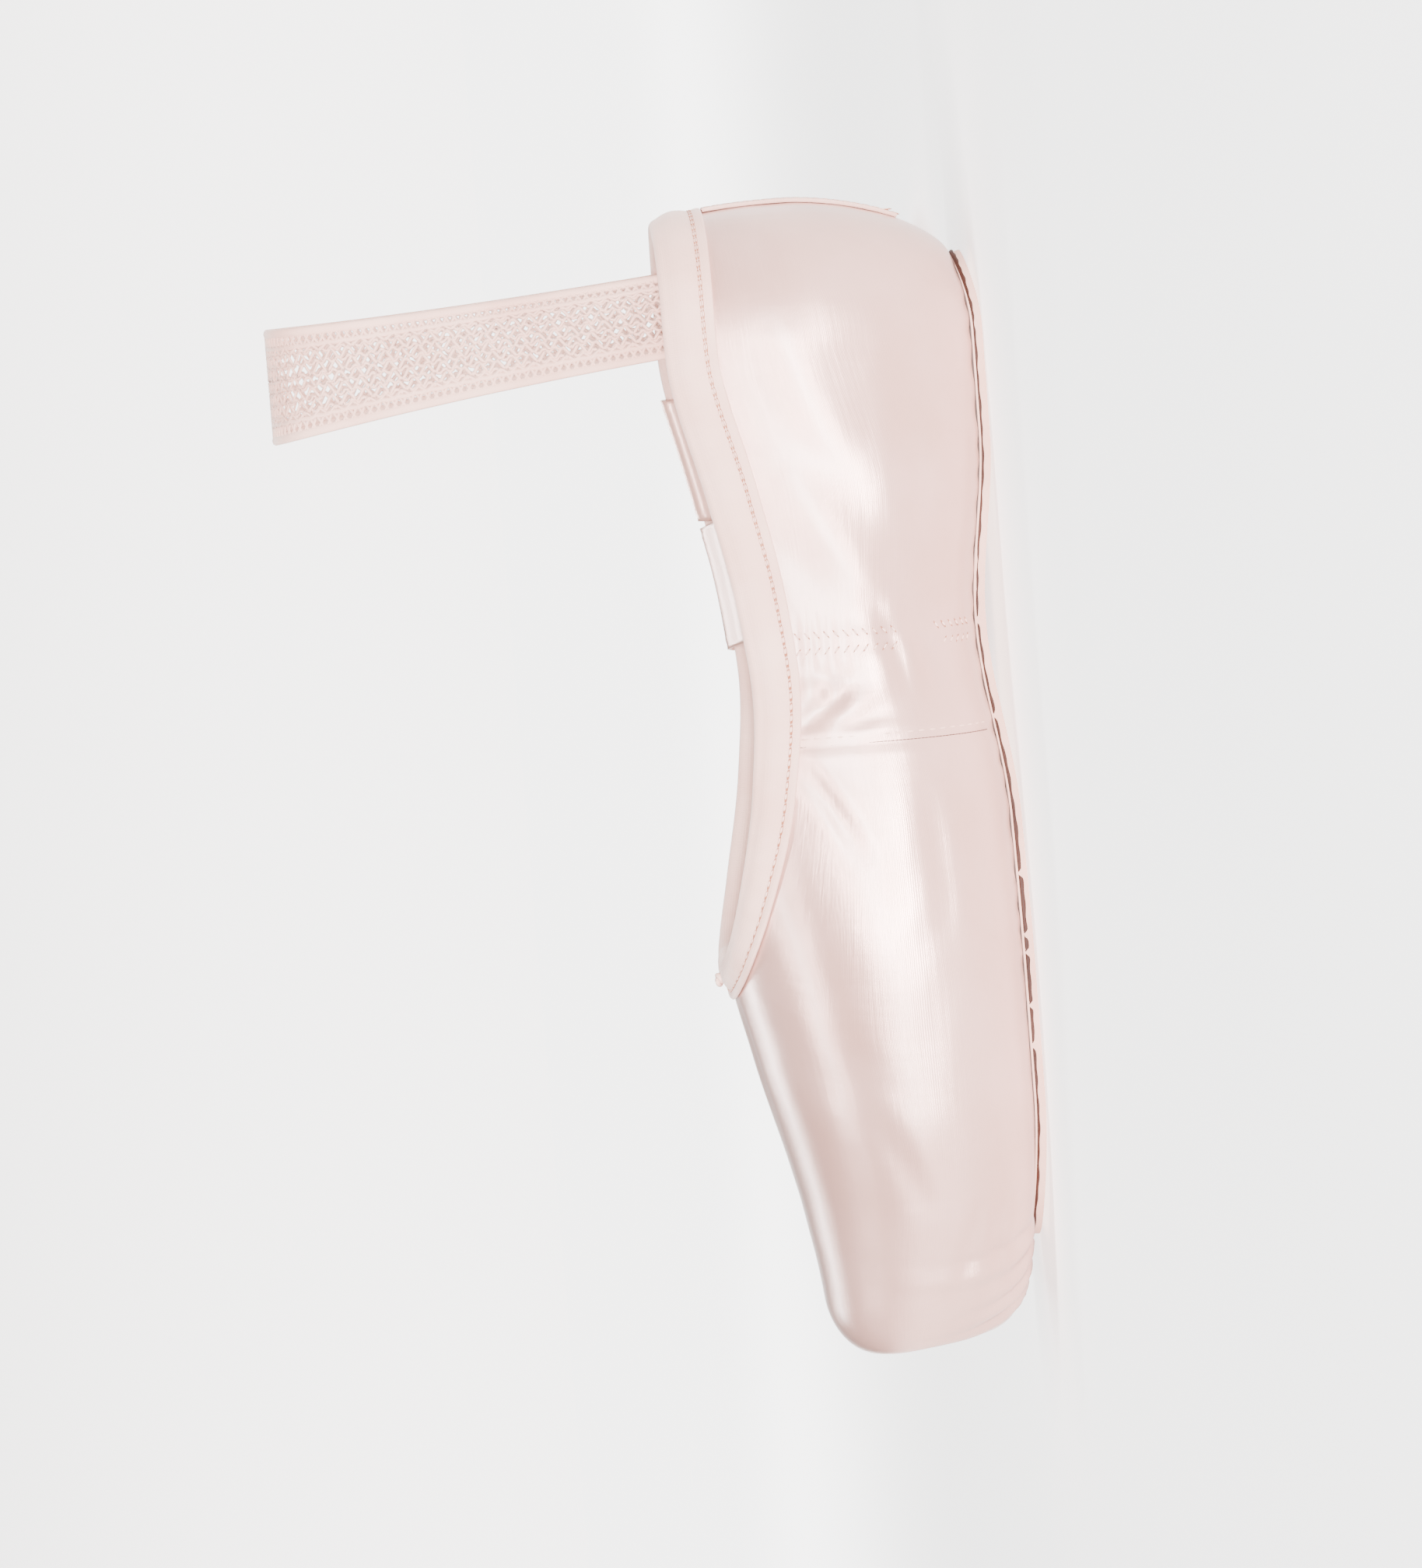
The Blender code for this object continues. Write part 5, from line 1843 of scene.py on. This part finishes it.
# The ribbons' ways at the collar and over the floor, which are their solids' own.
INNER_LAPS = tuple(Lap(*row) for row in (
    (-50, 1, INSIDE, -SEWN), (-50, 1, INSIDE, -0.55 * SEWN), (-50, 1, INSIDE, -0.15 * SEWN),
    (-49.6, 0.92, 0.6 * INSIDE, 0.7 * OVER), (-48.4, 0.74, 0, OVER), (-46.2, 0.42, 0, OVER),
    (-43.6, 0, 0, OVER), (-41, -0.42, 0, OVER), (-39, -0.74, 0, OVER),
    (-38, -0.92, 0, 1.1 * OVER), (-37.4, -1, 0.4 * OUTSIDE, 1.05 * OVER),
    (-37, -1, 1.1 * OUTSIDE, 0.45 * OVER), (-36.6, -1, 1.1 * OUTSIDE, -0.3 * SEWN),
    (-36, -1, 1.1 * OUTSIDE, -0.8 * SEWN),
))
OUTER_LAPS = tuple(Lap(*row) for row in (
    (-64, -1, INSIDE, -SEWN), (-64, -1, INSIDE, -0.55 * SEWN), (-64, -1, INSIDE, -0.1 * SEWN),
    (-64, -1, 0.95 * INSIDE, 0.5 * OVER), (-64.1, -1, 0.25 * INSIDE, 1.15 * OVER),
    (-64.2, -1, 0.95 * OUTSIDE, 0.6 * OVER), (-64.4, -1, 1.1 * OUTSIDE, -0.15 * SEWN),
    (-64.8, -1, 1.1 * OUTSIDE, -0.6 * SEWN), (-65.4, -1, 1.1 * OUTSIDE, -1.1 * SEWN),
))
INNER_RESTS = tuple(Rest(*row) for row in (
    (-34.5, -36.5, 27, 0), (-33, -37.4, 18, 0), (-31, -40.6, 9.5, 0), (-28, -48, 3.4, 0),
    (-24, -59, 1.2, 0), (-17, -73, 0.9, 0), (-7, -92, 2.2, 6), (6, -112, 4.4, 14),
    (21, -132, 4.6, 16), (38, -151, 2.6, 8), (55, -170, 1.1, 0), (69, -191, 2.0, -6),
    (78, -215, 4.0, -14), (81, -240, 4.6, -16), (77, -265, 3.8, -12),
    (66, -288, 2.2, -6), (49, -307, 1.0, 0), (28, -322, 1.4, 3), (5, -333, 2.2, 6),
    (-19, -341, 1.8, 4), (-44, -347, 0.9, 0),
))
OUTER_RESTS = tuple(Rest(*row) for row in (
    (-66.6, -37, 25, 0), (-68, -38.8, 15.5, 0), (-70, -43.5, 7, 0), (-73, -52, 2.2, 0),
    (-77.5, -65, 0.9, 0), (-83.5, -82, 2.0, -6), (-90, -102, 4.2, -14),
    (-94.5, -124, 5.0, -18), (-95.5, -147, 4.8, -16), (-92.5, -170, 3.2, -10),
    (-86, -193, 1.2, -2), (-78, -216, 1.6, 4), (-70.5, -239, 3.4, 12),
    (-65, -263, 4.4, 16), (-63, -288, 3.8, 12), (-65, -313, 2.0, 6),
    (-70.5, -338, 0.9, 0), (-78, -362, 1.2, 2), (-86, -386, 1.6, 3),
    (-92, -410, 1.0, 0), (-95, -434, 0.9, 0),
))


@dataclass
class Ribbon:
    """A satin ribbon, from its sewn end over the collar and down to the floor.

    Args:
        last: the shoe's surface.
        name: the piece's name.
        node: the solid that it stands for.
        laps: its way at the collar.
        rests: its way down and over the floor.
        sag: how far it sags where it crosses the opening.
        floor_gap: the least height of its middle surface.
        slant: how much longer one edge is than the other, at the cut end.
        hold: how much of its end is stitched down.
    """

    last: Last
    name: str
    node: str
    laps: Sequence[Lap]
    rests: Sequence[Rest]
    width: float = 25 * MM
    thick: float = 0.4 * MM
    sag: float = 6 * MM
    floor_gap: float = 0.9 * MM
    slant: float = 7 * MM
    hold: float = 8 * MM

    def lap_row(self, lap: Lap) -> list[Vector]:
        """The ribbon's row of points at one lap of the collar.

        Args:
            lap: the lap.

        Returns:
            One edge, the middle and the other edge.
        """
        last = self.last
        place = lap.x * MM + last.middle + self.width * np.array([-0.5, 0.0, 0.5])
        turn = last.collar_turn(place)
        if lap.up < 0:
            down = np.tile([0.0, 0.0, -1.0], (3, 1))
            places, turns = last.walk(place, turn, down, [0.0, -lap.up])
            place, turn = places[1], turns[1]
        walls = last.surface(place, turn)
        upward = unit(last.surface(place, turn + 0.01) - last.surface(place, turn - 0.01))
        spots = walls + last.normal(place, turn) * lap.out + upward * max(0.0, lap.up)
        sag = self.sag * (1 - lap.side ** 2)
        return [Vector((wall[0], spot[1] * lap.side, spot[2] - sag)) for wall, spot in zip(walls, spots)]

    def rows(self) -> list[list[Vector]]:
        """The ribbon's rows: at the collar first, and then along its free middle line.

        Returns:
            For each, one edge, the middle and the other edge.
        """
        rows = [self.lap_row(lap) for lap in self.laps]
        middles = [row[1] for row in rows] + [Vector(rest[:3]) * MM for rest in self.rests]
        flat = (rows[-1][2] - rows[-1][0]).normalized()
        for k, rest in enumerate(self.rests, len(rows)):
            ahead = (middles[min(k + 1, len(middles) - 1)] - middles[k - 1]).normalized()
            flat = (flat - ahead * flat.dot(ahead)).normalized()
            if rest.z < 12:
                level = Vector((0, 0, 1)).cross(ahead).normalized()
                level = level if level.dot(flat) > 0 else -level
                flat = flat.lerp(level, 0.7).normalized()
            lean = math.radians(rest.lean)
            across = flat * math.cos(lean) + ahead.cross(flat).normalized() * math.sin(lean)
            rows.append([middles[k] + across * (self.width * share) for share in (-0.5, 0.0, 0.5)])
        return rows

    def smooth(self, spacing: float) -> Array:
        """Draws a smooth curve through the rows.

        Args:
            spacing: from one new row to the next.

        Returns:
            An array of rows of three points.
        """
        rows = self.rows()
        found, final = [], len(rows) - 1
        for k in range(final):
            ends = (rows[max(0, k - 1)], rows[k], rows[k + 1], rows[min(final, k + 2)])
            steps = max(1, round((rows[k + 1][1] - rows[k][1]).length / spacing))
            for step in range(steps):
                s = step / steps
                found.append([0.5 * (2 * b + (c - a) * s + (2 * a - 5 * b + 4 * c - d) * s ** 2
                                     + (3 * b - a - 3 * c + d) * s ** 3)
                              for a, b, c, d in zip(*ends)])
        found.append(rows[-1])
        grid = np.array([[tuple(point) for point in row] for row in found])
        grid[..., 2] = np.maximum(grid[..., 2], self.floor_gap)
        return grid

    def build(self) -> list[Object]:
        """Makes the ribbon and the stitches that hold its end.

        Returns:
            The pieces.
        """
        grid = self.smooth(1.0 * MM)
        _, reach = along_line(grid[:, 1], MM)
        length = float(reach[-1])

        def place_points(u: Array, v: Array) -> Array:
            """Curves each row through its three points, with selvedges and slow waves.

            Args:
                u: shares of the ribbon's length.
                v: shares of its width.

            Returns:
                The points.
            """
            share = v - 0.5
            along = u * (length - self.slant * v)
            index = np.interp(along, reach, np.arange(len(reach)))
            low = np.minimum(index.astype(int), len(reach) - 2)
            part = (index - low)[:, None, None]
            three = grid[low] * (1 - part) + grid[low + 1] * part
            left = 2 * share * (share - 0.5)
            middle = 1 - 4 * share ** 2
            right = 2 * share * (share + 0.5)
            point = (three[:, 0] * left[:, None] + three[:, 1] * middle[:, None]
                     + three[:, 2] * right[:, None])
            run = unit(grid[np.minimum(low + 1, len(reach) - 1), 1] - grid[low, 1])
            out = unit(np.cross(three[:, 2] - three[:, 0], run))
            edge = 0.10 * bump_at(np.abs(share), 0.47, 0.05) - 0.05 * bump_at(np.abs(share), 0.42, 0.04)
            free = ease((along / MM - 70) / 40)
            wave = 0.22 * free * np.sin(along / MM * 0.12 + 2.0 * share) * np.cos(share * 5)
            point = point + out * ((edge + wave) * MM)[:, None]
            point[:, 2] = np.maximum(point[:, 2], self.thick)
            return point

        work = bmesh.new()
        pull_grid(work, int(length / (1.6 * MM)), 26, place_points, (length, self.width))
        work.normal_update()
        piece = finish_piece(self.name, work, (Finishes.RIBBON,), (self.node,))
        give_wall(piece, self.thick, 0)
        return [piece, self.end_stitches(grid, reach)]

    def end_stitches(self, grid: Array, reach: Array) -> Object:
        """The small stitches round the sewn end, on the shoe's inside.

        Args:
            grid: the ribbon's rows of three points.
            reach: how far along the ribbon each row is.

        Returns:
            The stitches, as one piece.
        """
        sewn = grid[: int(np.searchsorted(reach, self.hold))]
        middle = sewn[:, 1]
        run = unit(np.gradient(middle, axis=0))
        out = unit(np.cross(sewn[:, 2] - sewn[:, 0], run))
        inwards = np.sign(np.sum(out * np.array([0.0, 1.0, 0.0]), axis=1) * -middle[:, 1])
        out = out * inwards[:, None]
        lines = []
        for share in (-0.42, 0.42):
            lines.append((middle + (sewn[:, 2] - sewn[:, 0]) * share, out))
        for k in (1, len(sewn) - 1):
            shares = np.linspace(-0.42, 0.42, 20)[:, None]
            lines.append((middle[k] + (sewn[k, 2] - sewn[k, 0]) * shares, np.tile(out[k], (20, 1))))
        stitches = []
        for line, outs in lines:
            stitches += stitch_line(line + outs * (0.55 * self.thick), outs, 2.4 * MM, 1.7 * MM)
        return sew(f"{self.name}_end_stitches", stitches, 0.16 * MM, Finishes.THREAD)


@dataclass
class Studio:
    """A pale paper floor, soft lights and the camera.

    Args:
        target: what the camera and the lamps point at.
        azimuth: the camera's direction from the shoe in degrees, 180 being +Y.
        roll: how far the toe swings from straight down, in degrees.
        horizon: the brightness of the ring round it.
        ring: how far up the ring fades, as the sine of its angle.
    """

    target: tuple[float, float, float] = (0.0, 0.0, 0.060)
    azimuth: float = 184.0
    elevation: float = 2.0
    distance: float = 1.55
    lens: float = 178.0
    roll: float = 4.6
    floor_radius: float = 9.0
    room: float = 0.22
    horizon: float = 5.2
    ring: float = 0.23

    def camera(self) -> None:
        """Sets the camera at the photo's angle to the shoe, rolled so that the toe points down."""
        data = bpy.data.cameras.new("photo_camera")
        data.lens = self.lens
        data.sensor_width = 36.0
        data.clip_start, data.clip_end = 0.05, 50.0
        camera = bpy.data.objects.new("photo_camera", data)
        bpy.context.scene.collection.objects.link(camera)
        a, e = math.radians(self.azimuth), math.radians(self.elevation)
        back = Vector((math.sin(a) * math.cos(e), -math.cos(a) * math.cos(e), math.sin(e)))
        swing = math.radians(self.roll)
        toe = Vector((1, 0, 0)) - back * back.x
        toe.normalize()
        side = (-back).cross(-toe)
        up = side * math.sin(swing) - toe * math.cos(swing)
        up = (up - back * up.dot(back)).normalized()
        right = (-back).cross(up)
        camera.matrix_world = Matrix.Translation(Vector(self.target) + back * self.distance) @ Matrix(
            (right, up, back)).transposed().to_4x4()
        bpy.context.scene.camera = camera

    def floor(self) -> Object:
        """The paper floor, far wider than the picture.

        Returns:
            The floor.
        """
        work = bmesh.new()
        work.loops.layers.uv.verify()
        bmesh.ops.create_circle(work, cap_ends=True, segments=96, radius=self.floor_radius)
        mesh = bpy.data.meshes.new("studio_floor")
        work.to_mesh(mesh)
        work.free()
        mesh.materials.append(Finishes.FLOOR.material())
        floor = bpy.data.objects.new("studio_floor", mesh)
        bpy.context.scene.collection.objects.link(floor)
        return floor

    def lamp(self, name: str, where: tuple[float, float, float], size: tuple[float, float],
             power: float, dark: Object | None = None) -> None:
        """A soft rectangular lamp that faces the shoe.

        Args:
            name: the lamp's name.
            where: its middle.
            size: its length and width.
            power: in watts.
            dark: what a flag keeps its light off, if anything.
        """
        data = bpy.data.lights.new(name, "AREA")
        data.shape = "RECTANGLE"
        data.size, data.size_y = size
        data.energy = power
        lamp = bpy.data.objects.new(name, data)
        bpy.context.scene.collection.objects.link(lamp)
        lamp.location = where
        lamp.visible_camera = False
        lamp.rotation_mode = "QUATERNION"
        lamp.rotation_quaternion = (Vector(self.target) - Vector(where)).to_track_quat("-Z", "Y")
        if dark:
            flag = bpy.data.collections.new(f"{name}_flag")
            flag.objects.link(dark)
            flag.collection_objects[0].light_linking.link_state = "EXCLUDE"
            lamp.light_linking.receiver_collection = flag

    def light(self, floor: Object) -> None:
        """Lights the shoe with a pale room, two low strips, one above and one above and behind.

        Args:
            floor: the floor, which the low strips don't light.
        """
        world = bpy.data.worlds.new("white_room")
        world.use_nodes = True
        tree = world.node_tree
        shade = tree.nodes["Background"]
        shade.inputs["Color"].default_value = srgb("FFFCFA")
        where = add_node(tree, "ShaderNodeTexCoord")
        split = add_node(tree, "ShaderNodeSeparateXYZ", {0: where.outputs["Generated"]})
        away = add_node(tree, "ShaderNodeMath", {0: split.outputs["Z"]}, operation="ABSOLUTE")
        ring = add_node(tree, "ShaderNodeMapRange", {0: away.outputs[0], 1: 0.0, 2: self.ring,
                                                     3: self.horizon, 4: self.room},
                        interpolation_type="SMOOTHSTEP")
        tree.links.new(ring.outputs[0], shade.inputs["Strength"])
        bpy.context.scene.world = world
        self.lamp("front_strip", (-0.20, 1.7, 0.13), (0.7, 0.10), 38.0, floor)
        self.lamp("long_strip", (-0.05, 1.7, 0.12), (1.9, 0.13), 62.0, floor)
        self.lamp("top_strip", (0.05, 0.60, 1.10), (1.1, 0.10), 26.0)
        self.lamp("back_strip", (0.1, -1.25, 1.15), (1.2, 0.12), 24.0)


class PointeShoe:
    """The whole shoe, put together from its pieces."""

    def __init__(self) -> None:
        """Takes the sizes that all the pieces share."""
        self.last = Last()
        self.collar = Collar(self.last)
        self.ribbons = (
            Ribbon(self.last, "inner_ribbon", "ribbon_inner", INNER_LAPS, INNER_RESTS),
            Ribbon(self.last, "outer_ribbon", "ribbon_outer", OUTER_LAPS, OUTER_RESTS),
        )

    def build(self) -> None:
        """Makes the ribbons first, and then the rest."""
        for ribbon in self.ribbons:
            ribbon.build()
        upper = Upper(self.last)
        upper.build()
        upper.stitches()
        Binding(self.last, self.collar).build()
        HeelTape(self.last).build()
        Bottom(self.last).build()
        AnkleElastic(self.last).build()


def main() -> None:
    """Makes the camera, the shoe and the studio; each piece logs its count of faces."""
    studio = Studio()
    studio.camera()
    PointeShoe().build()
    studio.light(studio.floor())


if __name__ == "__main__":
    main()
